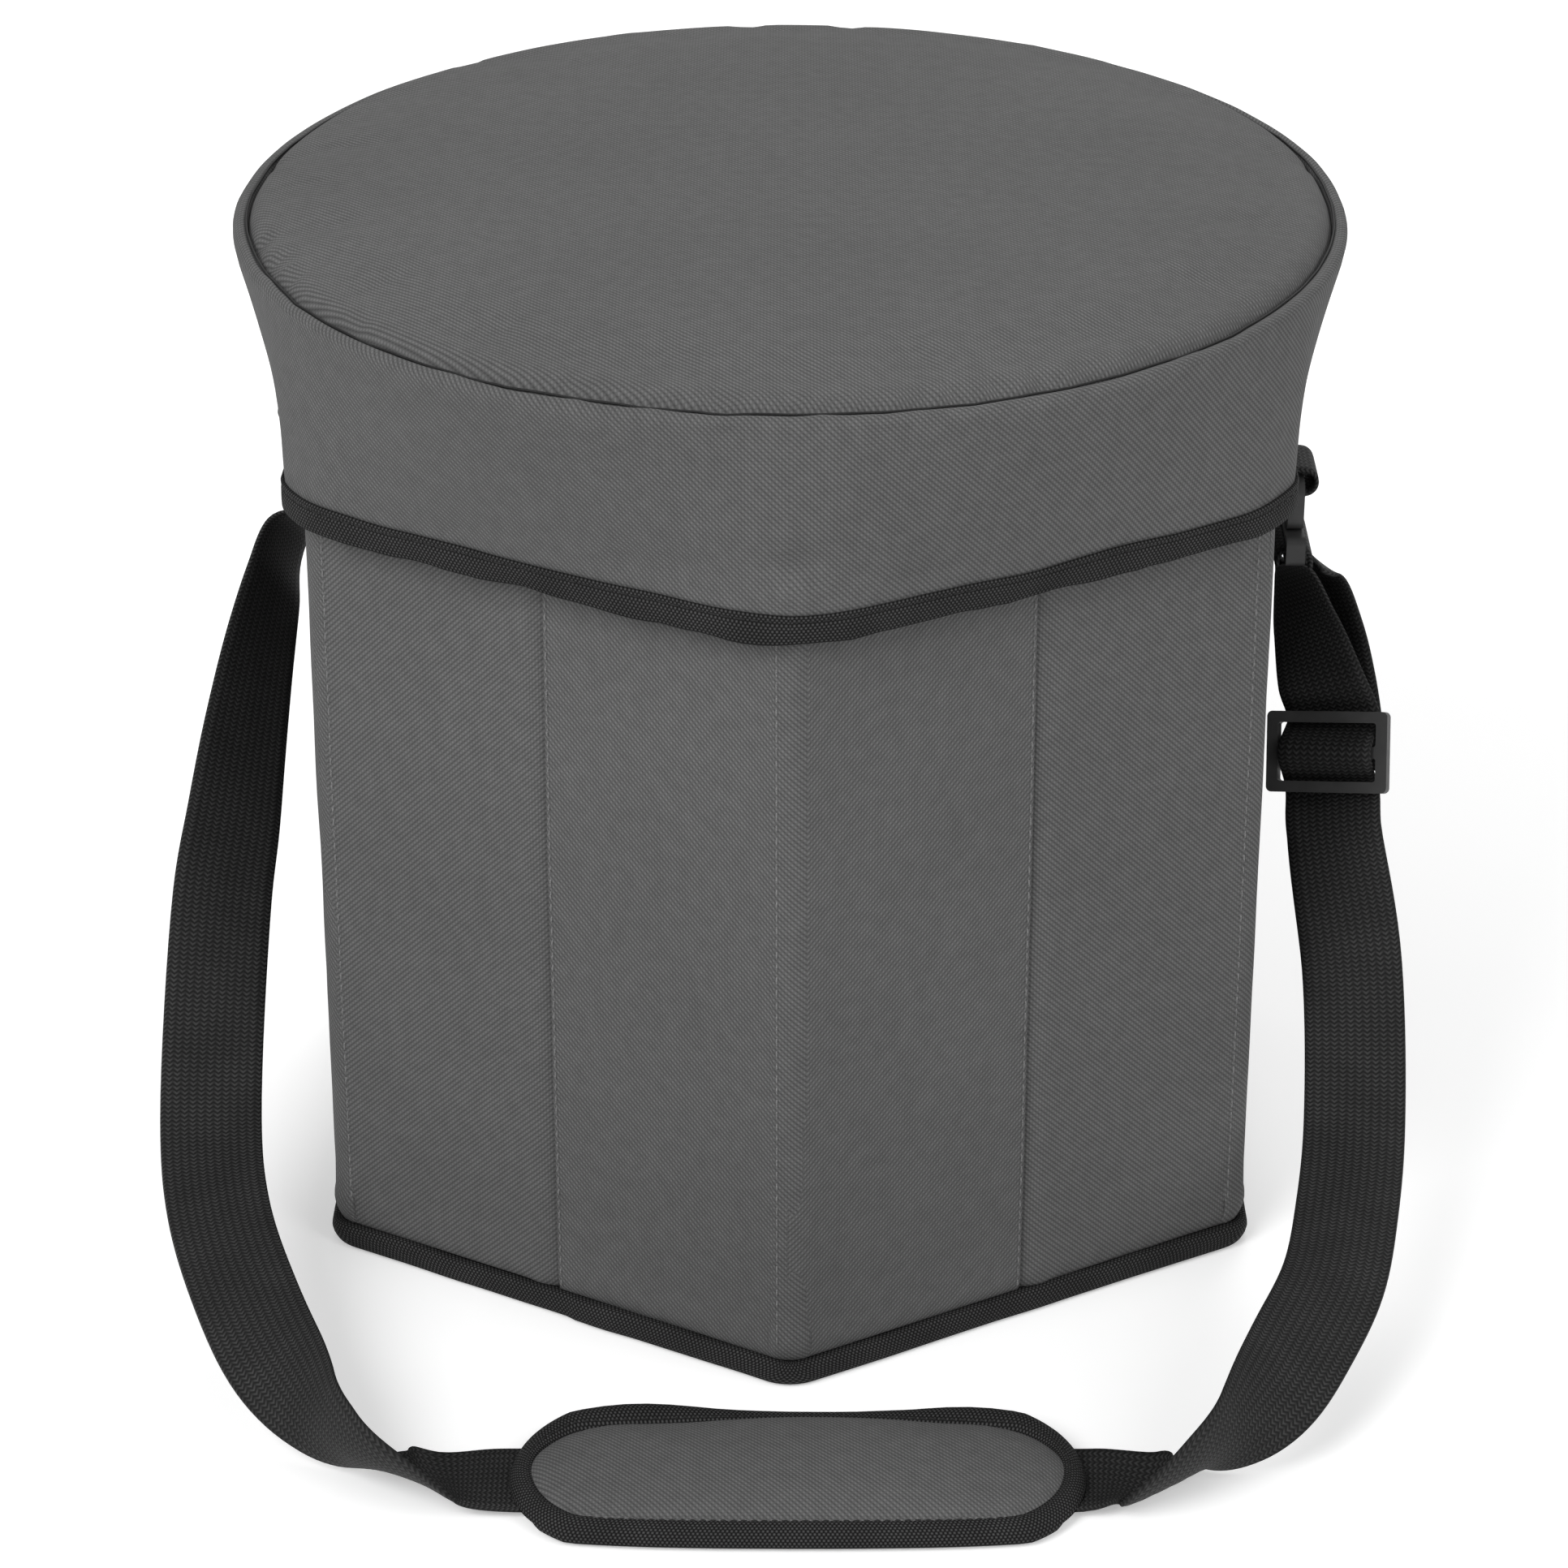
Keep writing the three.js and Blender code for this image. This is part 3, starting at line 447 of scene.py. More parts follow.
def thread_material(name, tone):
    s = Shader(name, roughness=0.6, specular=0.2)
    ply = s.noise(2600.0, detail=1.0)
    tones = [(0.35, grey(tone * 0.65)), (0.65, grey(tone * 1.25))]
    return s.finish(ply, tones, [], depth=0.06, strength=0.5)


CLOTH = cloth_material("charcoal_cloth")
CLOTH_FLAT = cloth_material("charcoal_cloth_level", flat=True)
TAPE = tape_material("binding_tape")
WEBBING = webbing_material("strap_webbing")
PLASTIC = plastic_material("moulded_plastic")
LINING = lining_material("silver_lining")
FOAM = foam_material("seat_foam")
BOARD = board_material("hardboard")
THREAD = thread_material("grey_thread", 0.185)
# The black thread also colours the dark cord in the seat's crease, which is painted shade
DARK_THREAD_AND_SEAM_SHADE = thread_material("black_thread_and_seam_shade", 0.02)


# Camera
def camera():
    data = bpy.data.cameras.new("camera")
    data.sensor_width = SENSOR
    data.lens = CAMERA_LENS
    scene.camera = aimed("camera", data, Vector(CAMERA_AT) * MM, Vector(CAMERA_AIM) * MM)


camera()


# Strap. Each stop on its route has a place and the direction of the webbing's width.
def direction(vector):
    """A vector's direction, as a vector of length 1."""
    vector = np.asarray(vector, float)
    return vector / np.linalg.norm(vector)


EYE_LOW_R, EYE_HIGH_R = span("hook_eye_right")
EYE_LOW_L, EYE_HIGH_L = span("hook_eye_left")
HOOK_X = (EYE_LOW_R.x + EYE_HIGH_R.x) / 2
EYE_T = EYE_HIGH_R.x - EYE_LOW_R.x
EYE_Z = EYE_LOW_R.z
RIGHT_TAB_Y = (EYE_LOW_R.y + EYE_HIGH_R.y) / 2
LEFT_TAB_Y = (EYE_LOW_L.y + EYE_HIGH_L.y) / 2
EYE_TURN = EYE_T / 2 + EYE_TURN_PLAY + STRAP_T / 2
SLIDER_AT = np.array([172.0, -25.0, 147.0])
SLIDER_DOWN = direction([-0.02, -0.451, -0.881])
SLIDER_SIDE = np.array([0.85, -0.5, 0.0])
SLIDER_ACROSS = direction(SLIDER_SIDE - SLIDER_SIDE.dot(SLIDER_DOWN) * SLIDER_DOWN)
SLIDER_FRONT = np.cross(SLIDER_DOWN, SLIDER_ACROSS)
SLIDER_H = 26
SLIDER_BAR = 3.6
BAR_OFF = (SLIDER_H - SLIDER_BAR) / 2
WEAVE = 3.8             # how far the webbing lies before and behind the slider's bars
WEAVE_RUN = 2.2         # it hangs straight below the slider, at this many times the bars' distance
STRAP_DRIFT = 2.5       # and this far aside
TAIL_BEHIND = 7.4       # the sewn end lies this far behind the slider
PAD_X = (PAD_BACK_LOW.x + PAD_BACK_HIGH.x) / 2
PAD_Y = (PAD_BACK_LOW.y + PAD_BACK_HIGH.y) / 2
PAD_HALF_L = (TAPE_HIGH.x - TAPE_LOW.x) / 2
PAD_ENTRY = 3           # the strap lies level this far outside the pad
STRAP_Z_IN_PAD = PAD_BACK_HIGH.z + GAP + STRAP_T / 2

RIGHT_DROP = [
    ((160.2, 3.3, 198.2), (0.23, -0.84, 0.5)),
    ((164.7, -4.6, 183.2), (0.52, -0.67, 0.53)),
    ((169.5, -13.7, 167.5), (0.77, -0.42, 0.48)),
]
# Near the pad the webbing turns over: its outer edge passes below and becomes the pad's far edge
RIGHT_LAY = [
    ((179.5, -58, 87), (1, 0, 0)),
    ((178.6, -93.6, 51), (0.99, -0.14, -0.02)),
    ((173.4, -128.3, 40), (0.98, -0.17, -0.06)),
    ((166.4, -159.5, 34), (0.94, -0.26, -0.21)),
    ((155.7, -184.5, 29), (0.86, -0.33, -0.39)),
    ((144.9, -204, 24), (0.74, -0.36, -0.56)),
    ((132.3, -217.5, 19.6), (0.22, 0.13, -0.97)),
    ((120.7, -223.9, 15.6), (0.03, 0.63, -0.77)),
    ((110.1, -225.5, 9.8), (0.12, 0.88, -0.46)),
    ((101.5, -222.5, 3.9), (0, 1, -0.06)),
]
LEFT_LAY = [
    ((-166.7, 56.4, 185.9), (-0.22, -0.6, 0.77)),
    ((-170, 42.4, 174.1), (-0.44, -0.51, 0.74)),
    ((-173.9, 21.5, 157.4), (-0.62, -0.43, 0.65)),
    ((-177.1, -1.6, 138.5), (-0.78, -0.33, 0.53)),
    ((-179.3, -22.6, 121.7), (-0.89, -0.23, 0.4)),
    ((-181.7, -43.8, 104.4), (-0.96, -0.1, 0.25)),
    ((-183, -93.6, 51), (-0.99, -0.14, -0.02)),
    ((-177.7, -128.3, 40), (-0.97, -0.2, -0.11)),
    ((-166.8, -163.6, 32.8), (-0.92, -0.28, -0.25)),
    ((-154.4, -191.7, 26), (-0.82, -0.34, -0.45)),
    ((-141, -209.5, 20), (-0.34, -0.02, -0.94)),
    ((-128.9, -219.7, 17.2), (0.06, 0.41, -0.91)),
    ((-118, -224.5, 14), (-0.04, 0.77, -0.64)),
    ((-109, -224, 8.8), (-0.18, 0.92, -0.34)),
    ((-102, -221.5, 4.2), (0, 1, -0.06)),
]


def eye_turn(sign, tab_y):
    """Stops round the lower bar of a hook's eye, from the outer layer to the inner one."""
    slot_low = EYE_Z + EYE_BAR
    slot_z = slot_low + EYE_STRAP_LIFT + STRAP_T / 2
    reach = (EYE_T + STRAP_T) / 2
    places = [
        (EYE_TURN, EYE_Z - EYE_RUN),
        (EYE_TURN, slot_low - EYE_BAR / 2),
        (reach, slot_z - 2 * GAP),
        (0, slot_z),
        (-reach, slot_z - 2 * GAP),
        (-EYE_TURN, slot_low - EYE_BAR / 2),
        (-EYE_TURN, EYE_Z - EYE_RUN),
        (-EYE_TURN + 2 * GAP, EYE_Z - 2 * EYE_BAR - EYE_RUN),
    ]
    return [((sign * (HOOK_X + out), tab_y, z), (0, -1, 0)) for out, z in places]


def by_slider(down, front, right=0):
    """A stop beside the slider's middle."""
    at = SLIDER_AT + down * SLIDER_DOWN + front * SLIDER_FRONT + right * SLIDER_ACROSS
    return (at, SLIDER_ACROSS)


def into_pad(side):
    """Stops from one end of the pad to its middle."""
    reaches = (PAD_HALF_L + PAD_ENTRY, PAD_HALF_L / 2, GAP / 2)
    return [((PAD_X + side * reach, PAD_Y, STRAP_Z_IN_PAD), (0, 1, 0)) for reach in reaches]


def route_right():
    """From the right eye, woven round the slider's bars, to the pad."""
    woven = [
        by_slider(-BAR_OFF, -WEAVE),
        by_slider(0, WEAVE),
        by_slider(BAR_OFF, -WEAVE),
        by_slider(WEAVE_RUN * BAR_OFF, 0, STRAP_DRIFT),
    ]
    return eye_turn(1, RIGHT_TAB_Y)[:-1] + RIGHT_DROP + woven + RIGHT_LAY + into_pad(1)


def route_left():
    """From the left eye to the pad."""
    return eye_turn(-1, LEFT_TAB_Y) + LEFT_LAY + into_pad(-1)


def route_tail():
    """From the outer layer below the right eye to the end sewn behind the slider's middle bar."""
    out = HOOK_X + EYE_TURN
    top = EYE_Z - EYE_RUN - GAP
    return [
        ((out, RIGHT_TAB_Y, top), (0, -1, 0)),
        ((out + 4.4, RIGHT_TAB_Y + 1, top - 6.5), (0.32, -0.86, 0.39)),
        ((out + 8, RIGHT_TAB_Y - 5, top - 22.8), (0.56, -0.73, 0.41)),
        ((out + 9.3, RIGHT_TAB_Y - 13.3, top - 39), (0.8, -0.5, 0.32)),
        by_slider(-BAR_OFF / 2, -TAIL_BEHIND),
        by_slider(BAR_OFF / 2, -TAIL_BEHIND),
    ]


def curve(points, steps):
    """Points on a centripetal Catmull-Rom curve through the given ones, with even steps between each two."""
    p = np.asarray(points, float)
    p = np.vstack([2 * p[0] - p[1], p, 2 * p[-1] - p[-2]])
    out = []
    for i in range(1, len(p) - 2):
        gaps = [max(np.linalg.norm(p[k + 1] - p[k]), 1e-6) ** 0.5 for k in (i - 1, i, i + 1)]
        chord = p[i + 1] - p[i]
        start = (p[i] - p[i - 1]) / gaps[0] - (p[i + 1] - p[i - 1]) / (gaps[0] + gaps[1]) + chord / gaps[1]
        start = start * gaps[1]
        end = chord / gaps[1] - (p[i + 2] - p[i]) / (gaps[1] + gaps[2]) + (p[i + 2] - p[i + 1]) / gaps[2]
        end = end * gaps[1]
        bend = 3 * chord - 2 * start - end
        sway = start + end - 2 * chord
        for t in np.arange(steps) / steps:
            square = t * t
            cube = t * t * t
            out.append(p[i] + start * t + bend * square + sway * cube)
    out.append(p[-2])
    return np.array(out)


# Section of a webbing: flat faces with rounded selvedges, as shares of half the width and half the thickness
BAND_FACE = [(-0.97, 0.9), *((k / 4, 1) for k in range(-3, 4)), (0.97, 0.9)]
BAND_SECTION = BAND_FACE + [(1, 0)] + [(u, -v) for u, v in reversed(BAND_FACE)] + [(-1, 0)]
BAND_STEPS = 8
LOWEST = 0.6            # height of the webbing's lowest edge above the floor
# How far the twist is evened out, by distance from the eye and by distance from the other end
EASE_FROM_EYE = ([120, 200], [6, 24])
EASE_FROM_END = ([90, 130], [12, 24])


def twist_ease(travel):
    """Distance over which the webbing's twist is evened out: short by its ends, long where it hangs free."""
    from_end = travel[-1] - travel
    return np.minimum(np.interp(travel, *EASE_FROM_EYE), np.interp(from_end, *EASE_FROM_END))


def evened(values, travel, reach):
    """Rows of values along a line, each evened out with the rows within a distance of it."""
    weights = np.exp(-((travel[:, None] - travel) / reach[:, None]) ** 2) * np.gradient(travel)
    return weights @ values / weights.sum(axis=1)[:, None]


def cup_depth(point, hollow):
    """How deep a band is hollowed at a point; a hollow has a place, a depth and a reach."""
    if hollow is None:
        return 0
    place, depth, reach = hollow
    return depth * bump(np.linalg.norm(point - place), reach)


def band(name, stops, width, thickness, material, hollow=None):
    """A flat band along a route, and the points down its middle in metres.

    Where it turns over, the band may be hollowed across its width.
    """
    middle = curve([place for place, _ in stops], BAND_STEPS)
    sides = np.array([direction(side) for _, side in stops])
    at = np.linspace(0, len(stops) - 1, len(middle))
    across = np.stack([np.interp(at, np.arange(len(stops)), sides[:, k]) for k in range(3)], axis=1)
    travel = travelled(middle)
    across = evened(across, travel, twist_ease(travel))
    along = np.gradient(middle, axis=0)
    along /= np.linalg.norm(along, axis=1)[:, None]
    across -= (across * along).sum(axis=1)[:, None] * along
    across /= np.linalg.norm(across, axis=1)[:, None]
    front = np.cross(along, across)
    rows = []
    for k, point in enumerate(middle):
        cup = cup_depth(point, hollow)
        row = np.array([point + across[k] * u * width / 2 + front[k] * (v * thickness / 2 + cup * (1 - u * u))
                        for u, v in BAND_SECTION])
        lift = max(LOWEST - row[:, 2].min(), 0)
        row[:, 2] += lift
        middle[k, 2] += lift
        rows.append(row)
    return make(name, *grid(rows, wrap_columns=True, caps=ENDS), material), middle * MM


RIGHT_HOLLOW = ((112.5, -225.2, 11.2), 5, 24)
LEFT_HOLLOW = ((-125.5, -221.2, 16.3), -5, 24)
webbing_right, path_right = band("webbing_right", route_right(), STRAP_W, STRAP_T, WEBBING, RIGHT_HOLLOW)
webbing_left, path_left = band("webbing_left", route_left(), STRAP_W, STRAP_T, WEBBING, LEFT_HOLLOW)
webbing_tail, _ = band("webbing_tail", route_tail(), STRAP_W, STRAP_T, WEBBING)
settle(webbing_right, "right_wall", "webbing", "strap_right")
settle(webbing_left, "shoulder_pad", "webbing", "strap_left")
settle(webbing_tail, "right_wall", "webbing", "strap_tail")


# Walls. A face has an outward normal at an angle, and runs along the direction a quarter turn further.
# Half 0 is a whole face; 1 and -1 are the halves on either side of the face's middle seam.
WALLS = {
    "right": (0, 0),
    "left": (180, 0),
    "front_right_1": (-60, 1),
    "front_right_2": (-60, -1),
    "front_left_1": (-120, -1),
    "front_left_2": (-120, 1),
    "back_right_1": (60, -1),
    "back_right_2": (60, 1),
    "back_left_1": (120, 1),
    "back_left_2": (120, -1),
}
WALL_BODY = {name: f"{name}_wall" if name in ("right", "left") else name for name in WALLS}
SEAM_GAP = 0.03
EDGE_TICKS = [0, 0.5, 1, 1.8, 2.7, 3.8, 5, 6.5, 8.5, 11]
ROW_STEP = 9            # between rows of points up a wall
COVER_CLOTH_T = 0.9
COVER_FULLNESS = 0.45   # of a panel half way up
# Unevenness of a panel: its height, its breadth and a seed, with a shift from one half of a face to the other
COVER_RUMPLES = [(0.45, 70, 0), (0.16, 22, 9)]
HALF_SHIFT = 300
CORNER_DIP = 6.5        # distance from a corner over which the cover turns in
CORNER_IN = 1.9         # and how far
SOFT_SEAM = 5.0         # width of the soft fold on one side of a middle seam
SOFT_SEAM_IN = 1.6      # and its depth
SOFT_SEAM_PUFF = 0.6    # the cloth stands out beside the fold
PUFF_AT = 7.5           # this far from the seam
PUFF_W = 3
HARD_SEAM = 1.6         # width of the stitched-down fold on the seam's other side
HARD_SEAM_IN = 0.5
FOOT_DIP = 6            # distance from the base tape over which the cover turns in
FOOT_IN = 0.9
TOP_HEM = 10            # how far the cover is turned down inside the wall
TOP_PLAY = 0.4          # between the cover's top and the solid's
TOP_TURN = 2.5          # the cover turns over the top of the wall within this height
INSIDE_PLAY = 0.25      # the turned-down cover lies this far inside the lining
LINER_CLOTH_T = 2.2
LINER_DROP = 4          # between the top of the lining and the wall's
LINER_PUFF = 0.9        # height of the lining's padding
LINER_EASE = 9          # distance from its edges over which it rises
LINER_RUMPLE = 0.5
LINER_SET = 0.4         # it is set back this far from the solid's inner face


def mitre(depth):
    """Half a face's width at a depth."""
    return SIDE / 2 - depth * math.tan(30 * DEG) - SEAM_GAP


def face_point(angle, depth, s, z):
    """A place on a face: a depth inwards, s along it and z up."""
    c, n = unit(angle)
    r = APOTHEM - depth
    return (r * c - s * n, r * n + s * c, z)


def panel_width(half):
    return SIDE if half == 0 else SIDE / 2


def soft_side(name):
    return name.endswith("_1")


def cover_swell(name, half, s, z):
    """How far the cover stands out from its flat face."""
    height = (z - WALL_FOOT) / (WALL_TOP - WALL_FOOT)
    swell = COVER_FULLNESS * math.sin(math.pi * min(max(height, 0), 1)) ** 0.5
    for size, breadth, seed in COVER_RUMPLES:
        swell += size * rumple(s + HALF_SHIFT * half, z, breadth, WALLS[name][0] / 60 + seed)
    swell -= CORNER_IN * drawn_in(SIDE / 2 - abs(s), CORNER_DIP)
    if half and soft_side(name):
        swell -= SOFT_SEAM_IN * drawn_in(abs(s), SOFT_SEAM)
        swell += SOFT_SEAM_PUFF * bump(abs(s) - PUFF_AT, PUFF_W)
    elif half:
        swell -= HARD_SEAM_IN * drawn_in(abs(s), HARD_SEAM)
    return swell - FOOT_IN * drawn_in(z - WALL_FOOT, FOOT_DIP)


def wall_spread(half, depth, places):
    """Places along a face at a depth, from the seam or one corner to the other corner."""
    end = mitre(depth)
    if half == 0:
        return -end + 2 * end * places
    return half * (SEAM_GAP + (end - SEAM_GAP) * places)


def cover_rows():
    """Depth, height and share of the swell up the outside of a wall, over its top and down inside."""
    top = WALL_TOP - TOP_PLAY
    turn = top - TOP_TURN
    inside = WALL_T + INSIDE_PLAY
    rows = [(0, WALL_FOOT + h, 1) for h in ticks(turn - WALL_FOOT, EDGE_TICKS, ROW_STEP)]
    rows += [(0.7, top - 0.7, 0.5), (2.2, top, 0), (inside - 2.2, top, 0), (inside - 0.5, top - 0.7, 0)]
    return rows + [(inside, z, 0) for z in (turn, top - TOP_HEM / 2, top - TOP_HEM)]


def cover(name):
    """The cloth over one panel of the walls."""
    angle, half = WALLS[name]
    width = panel_width(half)
    places = ticks(width, EDGE_TICKS, 6) / width
    rows = []
    for depth, z, share in cover_rows():
        along = wall_spread(half, depth, places)
        rows.append([face_point(angle, depth - share * cover_swell(name, half, s, z), s, z) for s in along])
    out = Vector((*unit(angle), 0))
    middle = Vector(face_point(angle, WALL_T / 2, 0, WALL_TOP / 2))

    def facing(point):
        return out if (point - middle).dot(out) > 0 else (0, 0, 0)

    piece = make(f"cloth_{name}", *grid(rows), CLOTH, facing)
    thicken(piece, COVER_CLOTH_T)
    settle(piece, WALL_BODY[name], "cloth", f"cover_{name}")


def liner(name):
    """The padded lining inside one panel of the walls."""
    angle, half = WALLS[name]
    width = panel_width(half)
    along = wall_spread(half, WALL_T, ticks(width, EDGE_TICKS, 8) / width)
    rows = []
    for z in WALL_FOOT + ticks(WALL_TOP - LINER_DROP - WALL_FOOT, EDGE_TICKS, 12):
        row = []
        for s in along:
            edge = min(mitre(WALL_T) - abs(s), abs(s) if half else SIDE)
            sunk = LINER_PUFF * (1 - smooth(edge / LINER_EASE))
            puff = LINER_RUMPLE * rumple(s, z, size=38, seed=angle / 50 + 4) - sunk
            row.append(face_point(angle, WALL_T - LINER_SET + puff, s, z))
        rows.append(row)
    inward = (*-unit(angle), 0)
    piece = make(f"lining_{name}", *grid(rows), LINING, lambda p: inward)
    thicken(piece, LINER_CLOTH_T)
    settle(piece, WALL_BODY[name], "lining", f"liner_{name}")


# The cloth turns each corner of the hexagon on a small radius
CORNERS = {
    "front_right": (-30, "front_right_1", "right"),
    "front": (-90, "front_left_2", "front_right_2"),
    "front_left": (-150, "left", "front_left_1"),
    "back_right": (30, "right", "back_right_1"),
    "back": (90, "back_right_2", "back_left_2"),
    "back_left": (150, "back_left_1", "left"),
}
CORNER_R = 10
CORNER_STEPS = 8        # on each side of the turn's middle
CORNER_TAIL = 2.0       # straight cloth at each end of the turn
CORNER_TUCK = 0.5       # by which it lies under the panel's cover
TAIL_SHARES = (0.5, 1.0)
CORNER_TOP = WALL_TOP - 0.8
OPEN_CORNER = "back_left"


def corner_centre(angle):
    return (SIDE - CORNER_R / math.cos(30 * DEG)) * unit(angle)


def corner_section(angle):
    """Points round a corner of the hexagon, in plan, with a short tail at each end."""
    turns = [angle + 30 * k / CORNER_STEPS for k in range(-CORNER_STEPS, CORNER_STEPS + 1)]
    section = [corner_centre(angle) + CORNER_R * unit(turn) for turn in turns]
    tails = []
    for end, side in ((section[0], -1), (section[-1], 1)):
        outward = unit(angle + 30 * side)
        along = side * np.array([-outward[1], outward[0]])
        tails.append([end + share * (CORNER_TAIL * along - CORNER_TUCK * outward) for share in TAIL_SHARES])
    return tails[0][::-1] + section + tails[1]


def corner_lift(angle, z):
    """How far the cloth stands out at a corner: puffed above the base tape, drawn in at its ends."""
    above_foot = z - WALL_FOOT
    lift = 0.35 + 0.3 * rumple(z, angle, size=30, seed=2.2) + 0.9 * bump(above_foot - 7, width=4)
    lift -= 1.2 * drawn_in(above_foot, reach=5)
    return lift - 1.5 * drawn_in(CORNER_TOP - z, reach=3)


def corner(name):
    """The turned cloth at one corner; the one at the open corner is tied to the left wall."""
    angle, first, second = CORNERS[name]
    section = corner_section(angle)
    outward = unit(angle)
    rows = []
    for height in ticks(CORNER_TOP - WALL_FOOT, EDGE_TICKS, ROW_STEP):
        z = WALL_FOOT + height
        rows.append([(*(point + corner_lift(angle, z) * outward), z) for point in section])
    piece = make(f"corner_{name}", *grid(rows), CLOTH, lambda p: (*outward, 0))
    thicken(piece, COVER_CLOTH_T)
    if name == OPEN_CORNER:
        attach(piece, "left_wall")
    else:
        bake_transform(piece)


# Stitches: short rounded threads that sink into the cloth at both ends
# Each ring of a stitch: its place as a share of the length, its height and its radius
STITCH_RINGS = [
    (-0.5, -0.3, 0.12),
    (-0.36, 0.04, 0.26),
    (0, 0.14, 0.32),
    (0.36, 0.04, 0.26),
    (0.5, -0.3, 0.12),
]
STITCH_SIDES = 6
STITCH_LOOK = 0.3       # how far ahead and back a stitch's direction is read
STITCH_STEP = 2.0       # between the points of a row up a wall
CORNER_STITCHED = ("back_left_2", "front_left_1", "back_right_1", "front_right_1", "back_left_1")
BESIDE_CORNER = 6.2
BESIDE_SEAM = 1.3
FRONT_ROW_TURN = 22.5   # degrees round the front corner


def on_line(values, travel, at):
    """The vector at a distance along a line, between those of its points."""
    return np.array([np.interp(at, travel, values[:, k]) for k in range(3)])


def stitch_rings(line, normals, travel, middle, length):
    """Points on the rings of one stitch."""
    points = []
    for share, lift, radius in STITCH_RINGS:
        at = middle + share * length
        along = direction(on_line(line, travel, at + STITCH_LOOK) - on_line(line, travel, at - STITCH_LOOK))
        normal = on_line(normals, travel, at)
        normal = direction(normal - normal.dot(along) * along)
        side = np.cross(along, normal)
        for k in range(STITCH_SIDES):
            turn = 2 * math.pi * k / STITCH_SIDES
            spoke = math.cos(turn) * side + math.sin(turn) * normal
            points.append(on_line(line, travel, at) + lift * normal + radius * spoke)
    return points


def stitches(name, line, normals, body, material, pitch=4.2, length=3.0):
    """Stitches along a line of points on a surface with the given normals."""
    line = np.asarray(line, float)
    normals = np.asarray(normals, float)
    travel = travelled(line)
    verts = []
    faces = []
    for middle in np.arange(pitch / 2, travel[-1] - pitch / 2, pitch):
        base = len(verts)
        verts += stitch_rings(line, normals, travel, middle, length)
        last = len(verts) - STITCH_SIDES
        for ring in range(base, last, STITCH_SIDES):
            for k in range(STITCH_SIDES):
                a = ring + k
                b = ring + (k + 1) % STITCH_SIDES
                faces.append((a, b, b + STITCH_SIDES, a + STITCH_SIDES))
        for ring in (base, last):
            faces.append(tuple(ring + k for k in range(STITCH_SIDES)))
    no_uvs = np.zeros((sum(len(f) for f in faces), 2))
    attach(make(name, verts, faces, no_uvs, material), body)


def wall_stitches(name):
    """A row beside the corner on some panels, and one beside the middle seam on its stitched-down side."""
    angle, half = WALLS[name]
    out = (*unit(angle), 0)
    heights = np.arange(WALL_FOOT + 1, WALL_TOP - 6, STITCH_STEP)
    rows = {}
    if name in CORNER_STITCHED:
        rows["corner"] = half * (SIDE / 2 - BESIDE_CORNER)
    if half and not soft_side(name):
        rows["seam"] = half * BESIDE_SEAM
    for kind, s in rows.items():
        line = [face_point(angle, -cover_swell(name, half, s, z), s, z) for z in heights]
        stitches(f"stitches_{name}_{kind}", line, [out] * len(line), WALL_BODY[name], THREAD)


def front_corner_stitches():
    """The row on the front corner lies on the turned cloth, a little to the left."""
    angle = CORNERS["front"][0]
    out = unit(angle - FRONT_ROW_TURN)
    x, y = corner_centre(angle) + CORNER_R * out
    heights = np.arange(WALL_FOOT + 6, WALL_TOP - 6, STITCH_STEP)
    line = [(x, y - corner_lift(angle, z), z) for z in heights]
    stitches("stitches_front_corner", line, [(*out, 0)] * len(line), "front_left_2", THREAD)


for wall in WALLS:
    cover(wall)
    liner(wall)
    wall_stitches(wall)
for corner_name in CORNERS:
    corner(corner_name)
front_corner_stitches()


# Base: binding tape round the foot, the sewn floor cloth and the loose board
BASE_CORNER_R = 7       # rounding of the tape at its top
BASE_FOOT_R = 15        # and at its foot, where it curls under
# Section of the tape: distance out and height
BASE_SECTION = [(-8.8, 7.4), (-1.5, 8.3), (-0.5, 8.3), (0.0, 7.6), (0.4, 6.0), (0.6, 4.2), (0.45, 2.3),
                (-0.1, 0.8), (-1.2, 0.05), (-4.5, 0.0), (-8.8, 0.0), (-8.8, 3.5)]
BASE_SHOWN = -2         # points further in than this lie under the walls and stay even
# The tape's end lies over its start on the front left face, between these x, in front of this y
LAP_FROM, LAP_TO = -45, -68
LAP_FRONT = -90
LAP_EASE = 14
LAP_RISE = 0.7


def hexagon_outline(apothem, radius, straight, turn):
    """Points and outward normals round a hexagon with rounded corners, in plan."""
    away = (apothem - radius) / math.cos(30 * DEG)
    points = []
    normals = []
    for angle in range(-90, 270, 60):
        for i in range(turn + 1):
            normals.append(unit(angle - 30 + 60 * i / turn))
            points.append(away * unit(angle) + radius * normals[-1])
        last = points[-1]
        after = away * unit(angle + 60) + radius * normals[-1]
        for i in range(1, straight):
            points.append(last + (after - last) * i / straight)
            normals.append(normals[-1])
    return np.array(points), np.array(normals)


def gather(piece):
    """Give the piece a mesh of its own."""
    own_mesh(piece)


def tape_lap(point):
    """How far the tape stands out where its end lies over its start."""
    on_face = point[1] < LAP_FRONT and LAP_TO < point[0] < LAP_FROM
    return LAP_RISE * smooth((LAP_FROM - point[0]) / LAP_EASE) if on_face else 0.0


